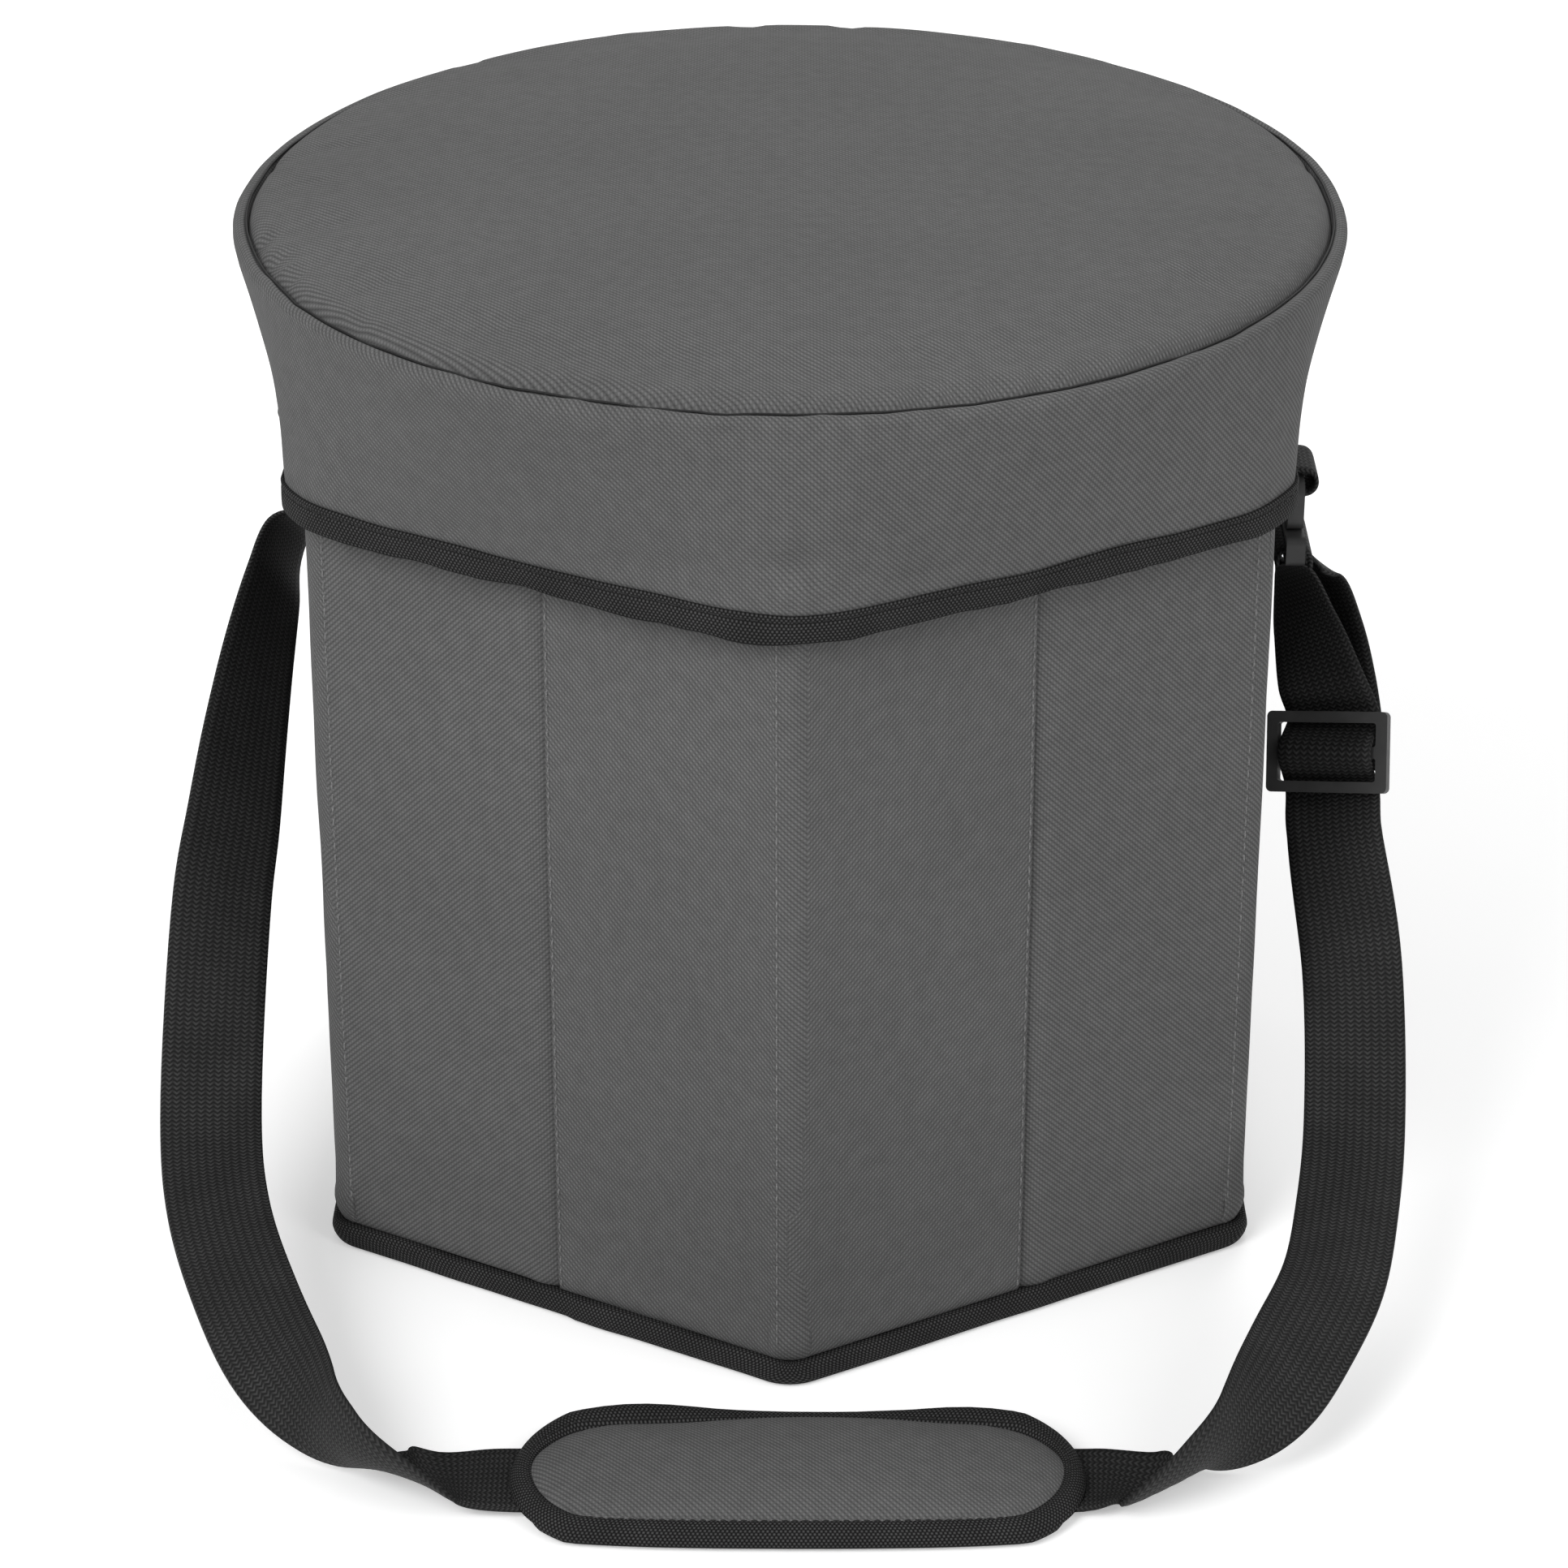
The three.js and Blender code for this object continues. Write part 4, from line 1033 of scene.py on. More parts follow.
def base_tape():
    """The binding tape round the foot, curled under and a little uneven."""
    high, normals = hexagon_outline(BASE_OUT, BASE_CORNER_R, straight=40, turn=10)
    low, _ = hexagon_outline(BASE_OUT, BASE_FOOT_R, straight=40, turn=10)
    rows = []
    for out, z in BASE_SECTION:
        share = smooth(z / BASE_H)
        shown = 1 if out > BASE_SHOWN else 0
        row = []
        for upper, lower, normal in zip(high, low, normals):
            point = lower + (upper - lower) * share
            ease = shown * (0.5 * rumple(*upper, size=26, seed=5.5 + z / 30) + tape_lap(upper))
            rise = shown * (z / BASE_H) * 0.8 * rumple(*upper, size=17, seed=8.5)
            row.append((*(point + normal * (out + ease)), max(0, z + rise)))
        rows.append(row)
    piece = make("base_tape", *grid(rows, wrap_rows=True, wrap_columns=True), TAPE)
    settle(piece, "right_wall", "tape", "base_binding")
    gather(piece)


def closed_plate(name, outline, profile, material):
    """A plate inside an outline: profile lists each ring's share of the outline and its height."""
    rows = [[(p[0] * share, p[1] * share, z) for p in outline] for share, z in profile]
    return make(name, *grid(rows, wrap_columns=True, caps=ENDS), material)


def base_floor():
    """The floor cloth, with a soft edge, and the loose board on it."""
    points, _ = hexagon_outline(INNER - GAP, 1.0, straight=10, turn=2)
    low = 0.0
    high = FLOOR_T
    profile = [(share, low) for share in (0.02, 0.3, 0.6, 0.9, 0.99)]
    profile += [(1.0, low + 0.5), (1.0, high - 0.4), (0.99, high), (0.9, high - 0.1)]
    profile += [(share, high) for share in (0.6, 0.3, 0.02)]
    piece = closed_plate("floor_base_cloth", points, profile, CLOTH_FLAT)
    settle(piece, "right_wall", "cloth", "floor_cloth")
    gather(piece)
    points, _ = hexagon_outline(BOARD_HIGH.x, 3.0, straight=8, turn=4)
    low = BOARD_LOW.z
    high = BOARD_HIGH.z
    profile = [(0.02, low), (0.5, low), (0.985, low), (1.0, low + 0.6)]
    profile += [(1.0, high - 0.6), (0.985, high), (0.5, high), (0.02, high)]
    piece = closed_plate("loose_board", points, profile, BOARD)
    settle(piece, "base_board", "board", "base_board")
    gather(piece)


base_tape()
base_floor()


# Lid
ROUND = 240
ROLL_R = 2.5            # rounded top of the skirt beside the seat's seam
ROLL_Z = SKIRT_HIGH + 1.6
CREASE_R = RIM_R - 1.9 * ROLL_R
CREASE_Z = SKIRT_HIGH + 2.0
CROWN_POWER = 4
SEAT_EDGE = 7.2         # rise of the padding beside the seam
SEAT_TURN = 2.6         # distance over which it rises
LID_SHEET_T = LID_CLOTH_T * 0.7
HEM_SIDE_PLAY = 3.4     # room between the hem and the middle of a side wall, where the photograph shows less
HEM_DROP = 0.6          # the tape reaches below and above the solid's
HEM_RISE = 1.4
HEM_STITCH_Z = HEM_HIGH - 0.5
# A dark cord in the seat's crease is painted shade that stands for the crease's shadow, shaped like the
# seam's thread; its radius and height
SEAM_SHADE_R = 0.4
SEAM_SHADE_UP = 2.0    # the dark cord's height above the bottom of the crease
# Small kinks of the seam outwards: angle and size
SEAM_KINKS = [(-118, 0.7), (-104, 0.8), (-96.5, 1.1), (-80, 0.9), (-72, 0.6), (-150, 0.7), (-40, 0.6),
              (60, 0.6), (110, 0.7)]
KINK_W = 1.6
# Soft dents in the skirt: angle, height, depth, width in degrees and in height
SKIRT_DENTS = [
    (-88.6, 279, 2.8, 2.8, 4.5),
    (-89.8, 270, -1.9, 2.8, 4.0),
    (-84.6, 272, 1.9, 1.6, 4.5),
    (-76.8, 271, 2.0, 2.0, 4.5),
    (-101.3, 275, 1.9, 1.8, 5.0),
    (-106.8, 273, 1.9, 1.8, 5.0),
    (-95.0, 290, -0.8, 4.0, 14.0),
    (-127.0, 268, 1.2, 3.0, 7.0),
    (-66.0, 268, -0.7, 4.0, 8.0),
    (-50.0, 270, 0.9, 4.0, 8.0),
    (-30.0, 275, 1.2, 4.0, 12.0),
    (-150.0, 275, 1.2, 4.0, 12.0),
    (20.0, 270, 1.0, 5.0, 9.0),
    (75.0, 269, 1.1, 4.0, 8.0),
    (112.0, 271, 1.0, 4.0, 8.0),
    (168.0, 270, 1.0, 5.0, 9.0),
]
# Puckers where the seat's cloth is eased into its seam: angle and depth
PUCKERS = [(-97, 1.4), (-90.5, 0.9), (-86, 0.9), (-82, 0.8), (-77, 1.3), (-73, 1.7), (-69, 1.4), (-64, 1.5),
           (-59, 0.9), (-112, 0.8), (-140, 0.6), (-155, 1.1), (-160, 1.6), (-166, 1.4), (-35, 0.7), (10, 0.8),
           (48, 0.7), (83, 1.0), (95, 0.8), (131, 0.7), (170, 0.8)]
PUCKER_DEPTH = 1.6      # times the depths above
PUCKER_W = 1.1          # degrees at the seam
PUCKER_SPREAD = 0.05    # and more for each millimetre inwards
PUCKER_AT = 3.5         # distance from the seam to its deepest place
PUCKER_REACH = 4.5
# Radii where the seat's cloth leaves the blown-up form, grows even and takes up the seam's waves,
# each with the distance over which it does
BLOWN_TO, BLOWN_EASE = 162, 14
RUMPLED_TO, RUMPLED_EASE = 165, 10
SEAM_FROM, SEAM_EASE = 150, 15
SEAT_RUMPLE = 0.35
# Blowing up of the padded forms
PRESSURE = 4
CLOTH_STEPS = 20
BLOWN_CAP = 1.6         # no point moves further than this


def round_hex_radius(angle, apothem, corner_radius):
    """Radius of a hexagon whose corners are rounded until they reach only to the given corner radius."""
    from_face = abs((angle + 90) % 60 - 30) * DEG
    sixth = 30 * DEG
    rounding = (apothem / math.cos(sixth) - corner_radius) / (1 / math.cos(sixth) - 1)
    if apothem * math.tan(from_face) <= (apothem - rounding) * math.tan(sixth):
        return apothem / math.cos(from_face)
    arc_middle = corner_radius - rounding
    turn = sixth - from_face
    return arc_middle * math.cos(turn) + math.sqrt(rounding ** 2 - (arc_middle * math.sin(turn)) ** 2)


def turned(angle, other):
    """How far one angle lies past another, from -180 to 180 degrees."""
    return (angle - other + 180) % 360 - 180


def skirt_radius(angle, z):
    """Radius of the skirt's outside: round at the seat and six-sided at the hem, with soft dents."""
    beside = smooth((abs(math.cos(angle * DEG)) - 0.85) / 0.1)
    play = HEM_FACE_PLAY + (HEM_SIDE_PLAY - HEM_FACE_PLAY) * beside
    hem_radius = round_hex_radius(angle, APOTHEM + play, SIDE + HEM_PLAY) + LID_CLOTH_T
    share = min(max((SKIRT_HIGH - z) / (SKIRT_HIGH - SKIRT_LOW), 0), 1)
    radius = RIM_R + (hem_radius - RIM_R) * share
    radius += 0.5 * share * rumple(angle, z, size=14, seed=1.7)
    for at, height, depth, wide, tall in SKIRT_DENTS:
        radius -= depth * bump(turned(angle, at), wide) * bump(z - height, tall)
    return radius


def ring_point(angle, radius, z):
    return (*(radius * unit(angle)), z)


def round_angles():
    return [-90 + 360 * k / ROUND for k in range(ROUND)]


def seam_wave(angle):
    """Unevenness of the seam round the seat."""
    x, y = unit(angle)
    uneven = 0.45 * rumple(x, y, size=1 / 4, seed=0.3) + 0.2 * rumple(x, y, size=1 / 11, seed=0.9)
    return uneven + sum(size * bump(turned(angle, at), KINK_W) for at, size in SEAM_KINKS)


def skirt():
    """The flared band, rolled over at its top and turned down into the seat's seam."""
    angles = round_angles()
    rows = []
    for z in np.linspace(SKIRT_LOW, SKIRT_HIGH + 1.3, 18):
        rows.append([ring_point(a, skirt_radius(a, z), z) for a in angles])
    for turn in (20, 40, 60, 80, 100, 120, 145):
        out, up = ROLL_R * unit(turn)
        row = []
        for a in angles:
            radius = RIM_R - ROLL_R + out + seam_wave(a)
            row.append(ring_point(a, radius, ROLL_Z + up + 0.6 * seam_wave(a + 7)))
        rows.append(row)
    for inset, drop in ((0.1, 0.5), (0.4, 3.0)):
        rows.append([ring_point(a, CREASE_R - inset + seam_wave(a), CREASE_Z - drop) for a in angles])
    piece = make("skirt_cloth", *grid(rows, wrap_columns=True), CLOTH, lambda p: (p.x, p.y, 0))
    thicken(piece, LID_SHEET_T)
    settle(piece, "lid", "cloth", "lid_skirt")


def hem():
    """Tape folded over the skirt's lower edge, a little uneven along its lower fold."""
    outside = HEM_TAPE_T + GAP
    behind = -LID_CLOTH_T - outside
    section = [(outside - 0.3, 1.0), (outside + 0.15, 0.95), (outside + 0.2, 0.86), (outside - 0.3, 0.77),
               (outside + 0.25, 0.68), (outside + 0.4, 0.45), (outside + 0.3, 0.2), (outside, 0.06),
               (0.2, 0.0), (-LID_CLOTH_T, 0.0), (behind, 0.08), (behind, 0.6), (behind + 0.3, 1.0),
               (-LID_CLOTH_T, 0.98), (0.1, 0.98)]
    rows = []
    for out, share in section:
        row = []
        for a in round_angles():
            x, y = SIDE * unit(a)
            low = HEM_LOW - HEM_DROP + 1.2 * rumple(x, y, size=24, seed=6.1)
            low += 0.6 * rumple(x, y, size=8, seed=2.4)
            high = HEM_HIGH + HEM_RISE + 0.8 * rumple(x, y, size=22, seed=7.7)
            z = low + (high - low) * share
            row.append(ring_point(a, skirt_radius(a, max(z, SKIRT_LOW)) + out, z))
        rows.append(row)
    piece = make("hem_tape", *grid(rows, wrap_rows=True, wrap_columns=True), TAPE)
    settle(piece, "lid", "tape", "hem_binding")
    closed = round_angles() + [270]
    line = [ring_point(a, skirt_radius(a, HEM_STITCH_Z) + outside - 0.3, HEM_STITCH_Z) for a in closed]
    normals = [ring_point(a, 1, 0) for a in closed]
    stitches("stitches_hem_tape", line, normals, "lid", DARK_THREAD_AND_SEAM_SHADE)


def seam_shade_cord():
    """A dark cord in the crease between the skirt's rolled top and the seat: painted shade for the crease's
    shadow, shaped like the seam's thread.
    """
    rows = []
    for turn in range(0, 360, 60):
        out, up = SEAM_SHADE_R * unit(turn)
        row = []
        for a in round_angles():
            x, y = CREASE_R * unit(a)
            z = CREASE_Z + SEAM_SHADE_UP + 0.35 * rumple(x, y, size=9, seed=8.2)
            row.append(ring_point(a, CREASE_R + 0.5 + seam_wave(a) + out, z + up))
        rows.append(row)
    piece = make("seam_shade_cord", *grid(rows, wrap_rows=True, wrap_columns=True), DARK_THREAD_AND_SEAM_SHADE)
    settle(piece, "lid", "cloth")


def seat_height(radius):
    """Height of the padded seat at a radius before it is blown up."""
    share = min(radius / FOAM_HIGH.x, 1)
    crown = (SEAT_TOP - CREASE_Z - SEAT_EDGE) * (1 - share ** CROWN_POWER)
    return CREASE_Z - 0.6 + SEAT_EDGE * (1 - math.exp(-(CREASE_R - radius) / SEAT_TURN)) + crown


def blown_up(name, rows, voxel, keep_below):
    """The surface of a stuffed form after a cloth simulation under pressure, as a tree for casting rays."""
    form = make(name, *grid(rows, wrap_columns=True, caps=ENDS), CLOTH)
    remesh = form.modifiers.new("remesh", "REMESH")
    remesh.mode = "VOXEL"
    remesh.voxel_size = voxel * MM
    mesh = bpy.data.meshes.new_from_object(form.evaluated_get(bpy.context.evaluated_depsgraph_get()))
    form.modifiers.clear()
    form.data = mesh
    rest = np.array([v.co for v in mesh.vertices])
    held = form.vertex_groups.new(name="held")
    held.add([int(i) for i in np.where(rest[:, 2] < keep_below * MM)[0]], 1.0, "REPLACE")
    cloth = form.modifiers.new("cloth", "CLOTH")
    cloth.settings.use_pressure = True
    cloth.settings.uniform_pressure_force = PRESSURE
    cloth.settings.vertex_group_mass = "held"
    cloth.settings.effector_weights.gravity = 0
    for step in range(1, CLOTH_STEPS + 1):
        scene.frame_set(step)
    after = form.evaluated_get(bpy.context.evaluated_depsgraph_get()).to_mesh()
    moved = np.array([v.co for v in after.vertices]) - rest
    far = np.linalg.norm(moved, axis=1)
    moved *= np.minimum(1, BLOWN_CAP * MM / np.maximum(far, 1e-9))[:, None]
    tree = BVHTree.FromPolygons([Vector(p) for p in rest + moved], [tuple(f.vertices) for f in mesh.polygons])
    scene.frame_set(1)
    bpy.data.objects.remove(form)
    return tree


def height_on(tree, x, y, otherwise):
    """Height of a blown-up form at a place, or the plain height where there is none."""
    if tree is None:
        return otherwise
    hit = tree.ray_cast(Vector((x * MM, y * MM, 1.0)), Vector((0, 0, -1)))[0]
    return otherwise if hit is None else hit.z / MM


def pucker(angle, inset):
    """Depth of the puckers at an angle and a distance inwards from the seam."""
    wide = PUCKER_W + PUCKER_SPREAD * inset
    along = sum(depth * bump(turned(angle, at), wide) for at, depth in PUCKERS)
    return PUCKER_DEPTH * along * bump(inset - PUCKER_AT, PUCKER_REACH)


def seat():
    """The seat's cloth over its padding."""
    insets = [0, 0.3, 0.7, 1.2, 1.8, 2.6, 3.6, 5, 7, 9.5, 13]
    radii = [2, *np.arange(8, 150, 8), *(CREASE_R - inset for inset in reversed(insets))]
    angles = round_angles()
    tree = None
    rows = [[ring_point(a, r, seat_height(r)) for a in angles] for r in radii]
    rows += [[ring_point(a, r, SKIRT_HIGH - 4) for a in angles] for r in (CREASE_R - 2, 80, 2)]
    tree = blown_up("seat_form", rows, voxel=5, keep_below=CREASE_Z + 3)
    rows = []
    for r in radii:
        plain = seat_height(r)
        row = []
        for a in angles:
            x, y, _ = ring_point(a, r, 0)
            z = plain + smooth((BLOWN_TO - r) / BLOWN_EASE) * (height_on(tree, x, y, plain) - plain)
            z += SEAT_RUMPLE * smooth((RUMPLED_TO - r) / RUMPLED_EASE) * rumple(x, y, size=60, seed=3.3)
            z -= pucker(a, CREASE_R - r)
            row.append(ring_point(a, r + seam_wave(a) * smooth((r - SEAM_FROM) / SEAM_EASE), z))
        rows.append(row)
    piece = make("seat_cloth", *grid(rows, wrap_columns=True, caps=(0,)), CLOTH_FLAT, lambda p: (0, 0, 1))
    thicken(piece, LID_SHEET_T)
    settle(piece, "lid", "cloth", "lid_top")


def lid_inside():
    """Seat foam under the cloth and the lining under the seat board."""
    angles = np.array([unit(a) for a in round_angles()[::2]])
    core = FOAM_HIGH.x
    hole = 2 / core
    low = FOAM_LOW.z
    rim = SKIRT_HIGH + 4.5
    crown = FOAM_HIGH.z - 1.2 - rim
    profile = [(hole, low), (0.5, low), (0.98, low), (0.995, low + 2), (0.985, (low + rim) / 2)]
    profile += [(0.99, rim - 2.5), (0.975, rim - 0.4)]
    for share in (0.93, 0.85, 0.7, 0.5, 0.25, hole):
        profile.append((share, rim + crown * (1 - share ** CROWN_POWER)))
    foam = closed_plate("foam_pad", angles * core, profile, FOAM)
    settle(foam, "lid", "foam", "lid_foam")
    low = LID_LINER_LOW.z
    high = LID_LINER_HIGH.z
    profile = [(hole, low), (0.4, low), (0.8, low), (0.95, low), (0.985, low + 0.3), (1.0, (low + high) / 2)]
    profile += [(0.985, high), (0.5, high), (hole, high)]
    lining = closed_plate("lid_lining", angles * core, profile, LINING)
    settle(lining, "lid", "lining", "lid_liner")


skirt()
hem()
seat()
seam_shade_cord()
lid_inside()


# Strap tabs: webbing sewn to the wall, with a loop standing out for the hook
TAB_FOOT = 5            # webbing below the loop
TAB_BORE = 3.2          # radius of the loop's inside
TAB_BEND = 2.2          # rounding where the loop leaves the wall
TAB_NECK = 3            # straight webbing before the loop's turn
TAB_ROWS = (2.0, 5.5, 16.0)     # heights of the stitch rows above the loop
TAB_MARGIN = 2          # between a row's ends and the webbing's edges
TAB_ROW_POINTS = 12


def tab(side, sign):
    """A tab's webbing with its loop, and the rows of stitches that hold it."""
    low, high = span(f"tab_{side}")
    y = (low.y + high.y) / 2
    wall = min(abs(low.x), abs(high.x)) + STRAP_T / 2
    loop_r = TAB_BORE + STRAP_T / 2
    middle = low.z + TAB_FOOT + TAB_BORE + STRAP_T
    centre = max(abs(low.x), abs(high.x)) - loop_r - STRAP_T / 2
    under = middle - loop_r
    over = middle + loop_r
    neck = centre - TAB_NECK
    stops = [(wall, low.z), (wall, under - TAB_BEND), (wall + TAB_BEND, under), (neck, under)]
    for turn in range(-90, 91, 30):
        stops.append((centre + loop_r * math.cos(turn * DEG), middle + loop_r * math.sin(turn * DEG)))
    stops += [(neck, over), (wall + TAB_BEND, over), (wall, over + TAB_BEND), (wall, high.z)]
    route = [((sign * x, y, z), (0, -1, 0)) for x, z in stops]
    piece, _ = band(f"webbing_tab_{side}", route, TAB_W, STRAP_T, WEBBING)
    settle(piece, f"{side}_wall", "webbing", f"tab_{side}")
    reach = TAB_W / 2 - TAB_MARGIN
    normals = [(sign, 0, 0)] * TAB_ROW_POINTS
    x = sign * (wall + STRAP_T / 2)
    for k, up in enumerate(TAB_ROWS, 1):
        row = [(x, y + s, over + TAB_BEND + up) for s in np.linspace(-reach, reach, TAB_ROW_POINTS)]
        name = f"stitches_tab_{side}_{k}"
        stitches(name, row, normals, f"{side}_wall", DARK_THREAD_AND_SEAM_SHADE, pitch=2.2, length=1.7)


tab("right", 1)
tab("left", -1)


# Hooks, eyes and slider keep their solids, with softened edges; the boards keep theirs as they are
SOFT_EDGE = 0.45
HARDWARE = ["strap_slider"]
for side in ("right", "left"):
    HARDWARE += [f"hook_{side}", f"hook_gate_{side}", f"hook_eye_{side}"]
BOARDS = [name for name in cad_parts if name.startswith("board_")] + ["lid_board"]


def coat(node, material):
    """Give a solid its material."""
    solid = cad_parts[node]
    solid.data.materials.clear()
    solid.data.materials.append(material)
    return solid


for node in HARDWARE:
    edge = coat(node, PLASTIC).modifiers.new("soft_edges", "BEVEL")
    edge.width = SOFT_EDGE * MM
    edge.segments = 2
    edge.limit_method = "ANGLE"
    edge.angle_limit = 40 * DEG
for node in BOARDS:
    coat(node, BOARD)


# Shoulder pad
PAD_HALF_W = (TAPE_HIGH.y - TAPE_LOW.y) / 2
PAD_WAIST = 2.0         # how far the long sides are drawn in
PAD_POINTS = 120
PAD_TAPE_W = 7.0        # width of the tape seen from above
PAD_TUCK = 1.8          # cloth under the tape
PAD_EASE = 4.5          # distance over which the cushion rises
PAD_EDGE = TAPE_HIGH.z - 1.6
PAD_TAPE_TOP = TAPE_HIGH.z
PAD_STITCH_IN = PAD_TAPE_W - 1.8
# The pad's tape: distance from its outer edge, and height from its top or, underneath, above the floor
PAD_TAPE_OVER = [(PAD_TAPE_W, -1.4), (PAD_TAPE_W - 0.3, -0.3), (PAD_TAPE_W - 1.4, 0.1), (4.2, -0.1),
                 (2.7, -0.8), (1.4, -1.9), (0.4, -3.3), (0.0, -4.6)]
PAD_TAPE_UNDER = [(0.3, 1.6), (1.2, 0.7), (2.6, 0.4), (5.0, 0.4)]
PAD_LOOSE_ROWS = 5      # the tape's inner rows are the more uneven ones
# The strap runs in under the tape beyond this x and within this y, each with the distance of the change
ENTRY_X, ENTRY_X_EASE = 58, 12
ENTRY_Y, ENTRY_Y_EASE = 24, 5
# Where the far side's tape widens and curls up: x, and widths of both
FAR_LEFT = (-50, 32, 28)
FAR_RIGHT = (54, 28, 25)
CURL_LEFT = 4.8
CURL_RIGHT = 3.8


def pad_outline(inset):
    """Points round the pad, drawn in by a distance from its outer edge."""
    straight = PAD_HALF_L - PAD_HALF_W
    points = []
    for k in range(PAD_POINTS):
        angle = 2 * math.pi * (k + 0.5) / PAD_POINTS
        c, n = math.cos(angle), math.sin(angle)
        x = min(max(2 * c, -1), 1) * straight + c * (PAD_HALF_W - inset)
        waist = PAD_WAIST * math.cos(min(max(x / PAD_HALF_L, -1), 1) * 90 * DEG) ** 2
        points.append((x, n * (PAD_HALF_W - inset) - math.copysign(waist, n)))
    return np.array(points)


def far_share(y):
    """How far a place lies on the pad's far side."""
    return smooth((y + 4) / 26)


def far_widening(x, y):
    """The tape lies further in on the pad's far side, most of all towards the two ends."""
    ends = min(1, bump(x - FAR_LEFT[0], FAR_LEFT[1]) + bump(x - FAR_RIGHT[0], FAR_RIGHT[1]))
    return 1 + far_share(y) * (0.2 + 0.6 * ends)


def pad_ring(inset):
    """Points round the pad on the tape, at a distance from its outer edge that grows on the far side."""
    points = []
    for x, y in pad_outline(inset):
        further = inset * (far_widening(x, y) - 1)
        points.append((x, y - further * far_share(y)))
    return points


def pad_curl(x, y, inset):
    """The tape on the pad's far side curls up towards its two ends."""
    along = CURL_LEFT * bump(x - FAR_LEFT[0], FAR_LEFT[2]) + CURL_RIGHT * bump(x - FAR_RIGHT[0], FAR_RIGHT[2])
    return along * smooth(y / 22) * max(0, 1 - inset / PAD_TAPE_W)


def pad_under(x, y, low):
    """Height of the tape's underside, which stays above the strap where that runs in at the ends."""
    at_end = smooth((abs(x) - ENTRY_X) / ENTRY_X_EASE) * smooth((ENTRY_Y - abs(y)) / ENTRY_Y_EASE)
    raised = STRAP_Z_IN_PAD + STRAP_T / 2 + 0.3 + 0.15 * low
    return low + (raised - low) * at_end


def pad_tape():
    """Tape rolled over the pad's edge."""
    rows = []
    for k, (inset, level) in enumerate(PAD_TAPE_OVER + PAD_TAPE_UNDER):
        loose = k < PAD_LOOSE_ROWS
        row = []
        over = k < len(PAD_TAPE_OVER)
        for x, y in pad_ring(inset):
            height = PAD_TAPE_TOP + level if over else pad_under(x, y, level)
            ease = 0.35 * rumple(x, y, size=11, seed=4.4 + inset / 20)
            scale = 1 + (ease if loose else 0.4 * ease) / PAD_HALF_L
            height += pad_curl(x, y, inset) + (0.25 * ease if k <= PAD_LOOSE_ROWS else 0)
            row.append((PAD_X + x * scale, PAD_Y + y * scale, height))
        rows.append(row)
    piece = make("pad_tape", *grid(rows, wrap_rows=True, wrap_columns=True), TAPE)
    settle(piece, "shoulder_pad", "tape", "pad_binding")
    ring = pad_ring(PAD_STITCH_IN)
    line = [(PAD_X + x, PAD_Y + y, PAD_TAPE_TOP + pad_curl(x, y, PAD_STITCH_IN)) for x, y in ring]
    line.append(line[0])
    normals = [(0, 0, 1)] * len(line)
    stitches("stitches_pad_tape", line, normals, "shoulder_pad", DARK_THREAD_AND_SEAM_SHADE, pitch=3.0, length=2.2)


def pad_height(x, y):
    """Height of the cushion before it is blown up, at a place measured from the pad's middle."""
    past_middle = math.hypot(max(abs(x) - (PAD_HALF_L - PAD_HALF_W), 0), y)
    inset = PAD_HALF_W - past_middle - PAD_TAPE_W * far_widening(x, y) + PAD_TUCK
    return PAD_EDGE + (PAD_TOP - PAD_EDGE) * (1 - math.exp(-max(inset, 0) / PAD_EASE))


def pad_lines():
    """Lines of places across the pad, from its near edge under the tape to its far one."""
    outline = pad_outline(PAD_TAPE_W - PAD_TUCK)
    shares = np.sin(np.linspace(-90, 90, 25) * DEG)
    return [[(x, share * y) for share in shares] for x, y in outline[:PAD_POINTS // 2]]


def pad_cushion():
    """The pad's cloth over its padding, closed by a level underside."""
    low = STRAP_Z_IN_PAD + STRAP_T / 2 + 0.4
    lines = pad_lines()
    tree = None
    rows = []
    for line in lines:
        over = [(x, y, pad_height(x, y)) for x, y in line]
        rows.append(over + [(x, y, low) for x, y in reversed(line)])
    tree = blown_up("pad_form", rows, voxel=3, keep_below=PAD_EDGE + 0.6)
    rows = []
    for line in lines:
        row = []
        for x, y in line:
            plain = pad_height(x, y)
            rise = smooth((plain - PAD_EDGE) / (PAD_TOP - PAD_EDGE))
            z = plain + rise * (height_on(tree, x, y, plain) - plain)
            row.append((PAD_X + x, PAD_Y + y, z + 0.3 * rise * rumple(x, y, size=24, seed=6.6)))
        row += [(PAD_X + x, PAD_Y + y, low) for x, y in reversed(line)]
        rows.append(row)
    piece = make("pad_cloth", *grid(rows, wrap_columns=True, caps=ENDS), CLOTH_FLAT)
    settle(piece, "shoulder_pad", "cloth", "pad_cushion")


def pad_backing():
    """The pad's level underside."""
    low, high = PAD_BACK_LOW.z, PAD_BACK_HIGH.z
    rows = []
    for inset, z in ((28, low), (5, low), (3.8, low + 0.4), (3.6, (low + high) / 2), (4.0, high), (28, high)):
        rows.append([(PAD_X + p[0], PAD_Y + p[1], z) for p in pad_outline(inset)])
    piece = make("pad_backing", *grid(rows, wrap_columns=True, caps=ENDS), WEBBING)
    settle(piece, "shoulder_pad", "webbing", "pad_back")


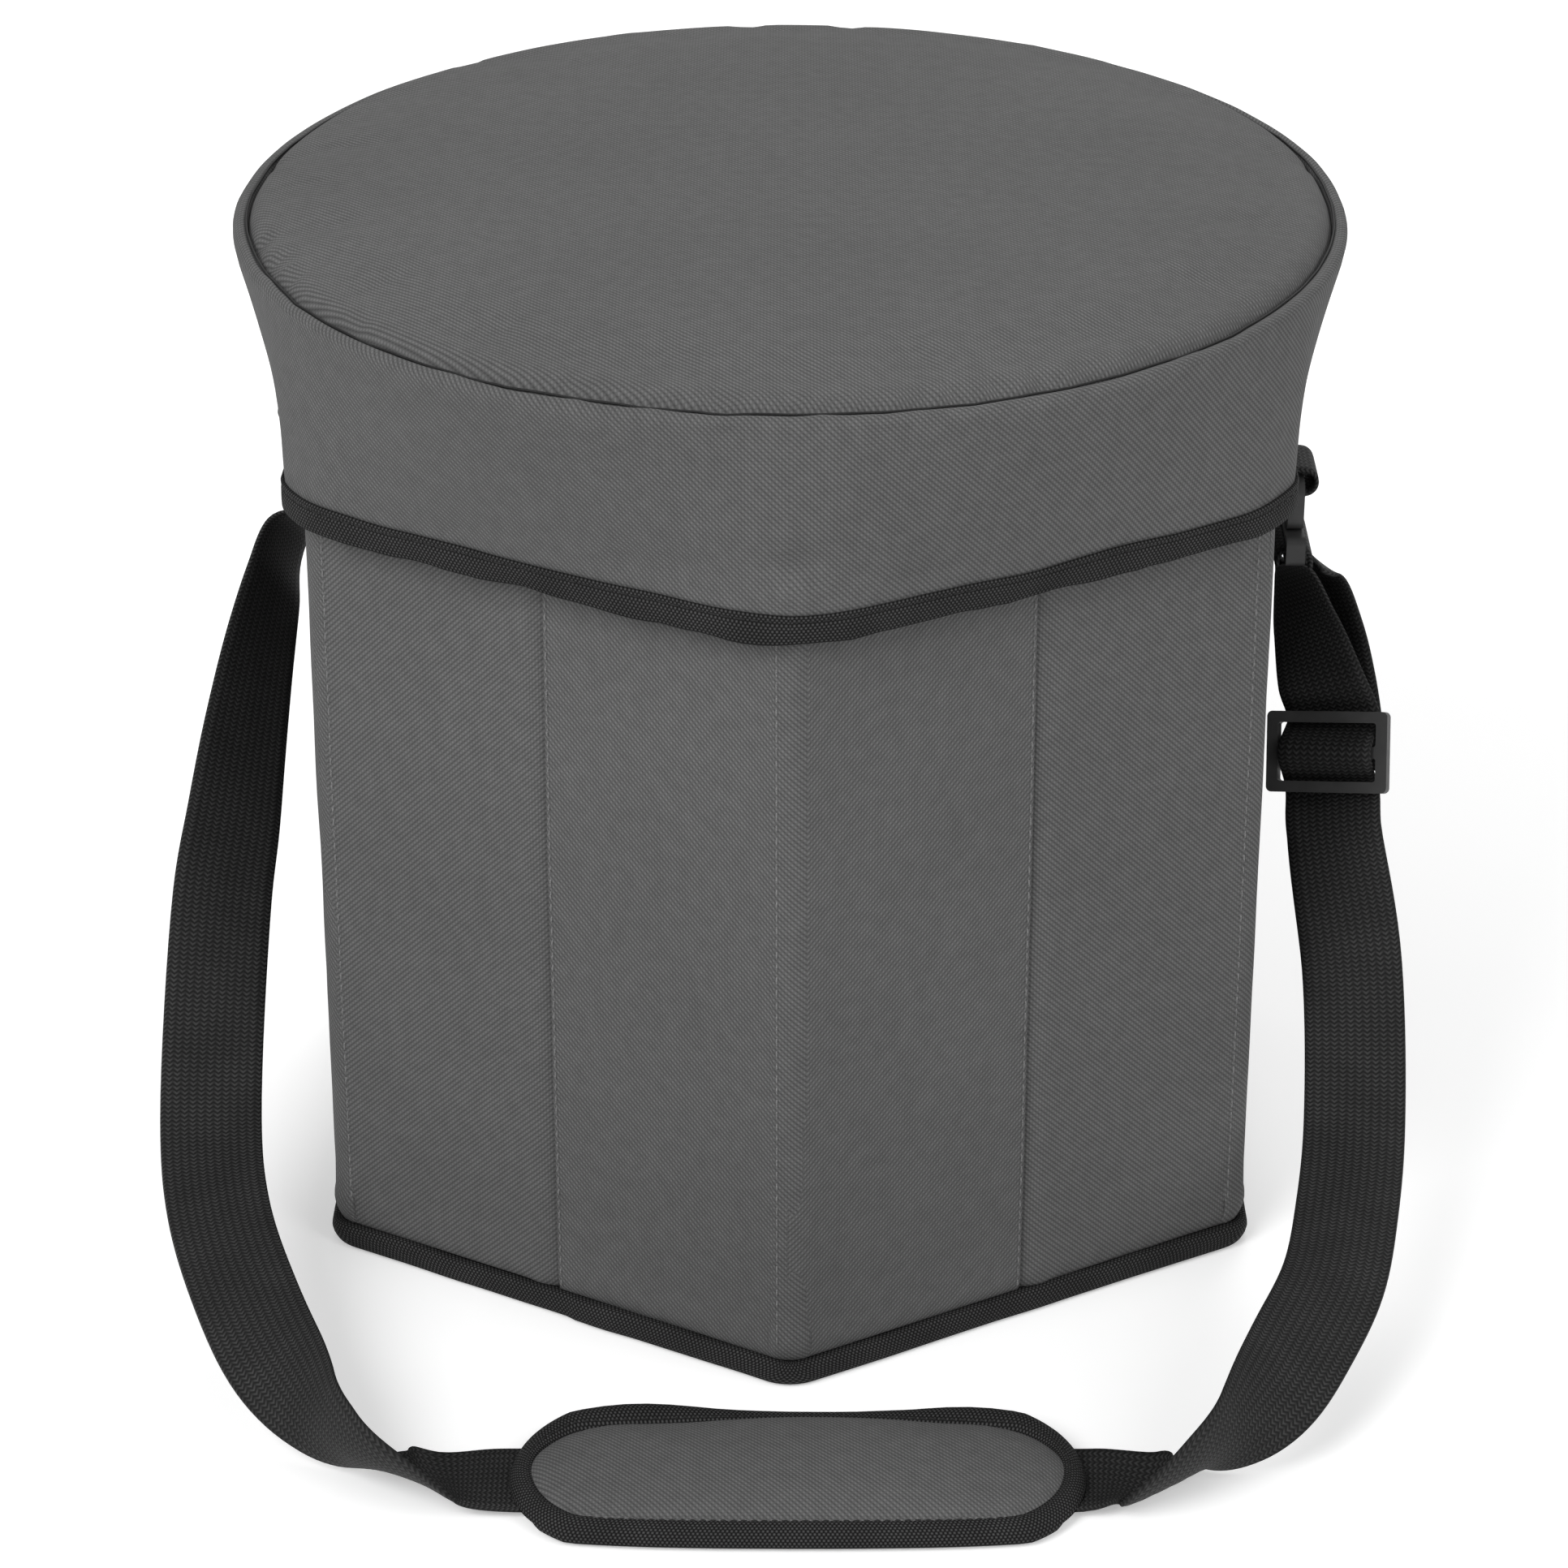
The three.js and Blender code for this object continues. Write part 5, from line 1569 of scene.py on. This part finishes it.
pad_tape()
pad_cushion()
pad_backing()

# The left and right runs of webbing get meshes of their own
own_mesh(webbing_left)
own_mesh(webbing_right)


# Floor and light, in metres apart from the floor's drop
FLOOR_SIZE = 40
FLOOR_DROP = 0.2
FLOOR_LIFT = 0.35       # brings the floor up to white where the camera sees it
SKY_STRENGTH = 0.43
LIGHT_AIM = (0, 0, 0.16)
# Each lamp's place, size and power
LAMPS = {
    "key": ((-1.35, -1.55, 1.85), 1.6, 40.5),
    "fill": ((1.8, -1.2, 1.4), 1.8, 18.5),
    "back": ((0.4, 1.9, 1.8), 1.6, 18),
}


def stage():
    mesh = bpy.data.meshes.new("floor")
    half = FLOOR_SIZE / 2
    z = -FLOOR_DROP * MM
    corners = [(-half, -half, z), (half, -half, z), (half, half, z), (-half, half, z)]
    mesh.from_pydata(corners, [], [(0, 1, 2, 3)])
    floor = bpy.data.objects.new("floor", mesh)
    scene.collection.objects.link(floor)
    s = Shader("pale_floor", roughness=0.9, specular=0.0)
    s.paint(s.ramp(s.noise(2.0), [(0.3, grey(0.86)), (0.7, grey(0.89))]))
    path = s.node("ShaderNodeLightPath")
    seen = s.math("MAXIMUM", path.outputs["Is Camera Ray"], path.outputs["Is Glossy Ray"])
    seen = s.math("MAXIMUM", seen, path.outputs["Is Transmission Ray"])
    s.bsdf.inputs["Emission Color"].default_value = (1, 1, 1, 1)
    s.tree.links.new(s.math("MULTIPLY", seen, FLOOR_LIFT), s.bsdf.inputs["Emission Strength"])
    mesh.materials.append(s.material)


def lamp(name, at, size, power):
    data = bpy.data.lights.new(name, "AREA")
    data.shape = "DISK"
    data.size = size
    data.energy = power
    aimed(name, data, at, LIGHT_AIM)


def lights():
    world = bpy.data.worlds.new("studio")
    world.use_nodes = True
    sky = world.node_tree.nodes["Background"]
    sky.inputs["Color"].default_value = (1, 1, 1, 1)
    sky.inputs["Strength"].default_value = SKY_STRENGTH
    scene.world = world
    for name, settings in LAMPS.items():
        lamp(name, *settings)


stage()
lights()
scene.view_settings.view_transform = "Standard"
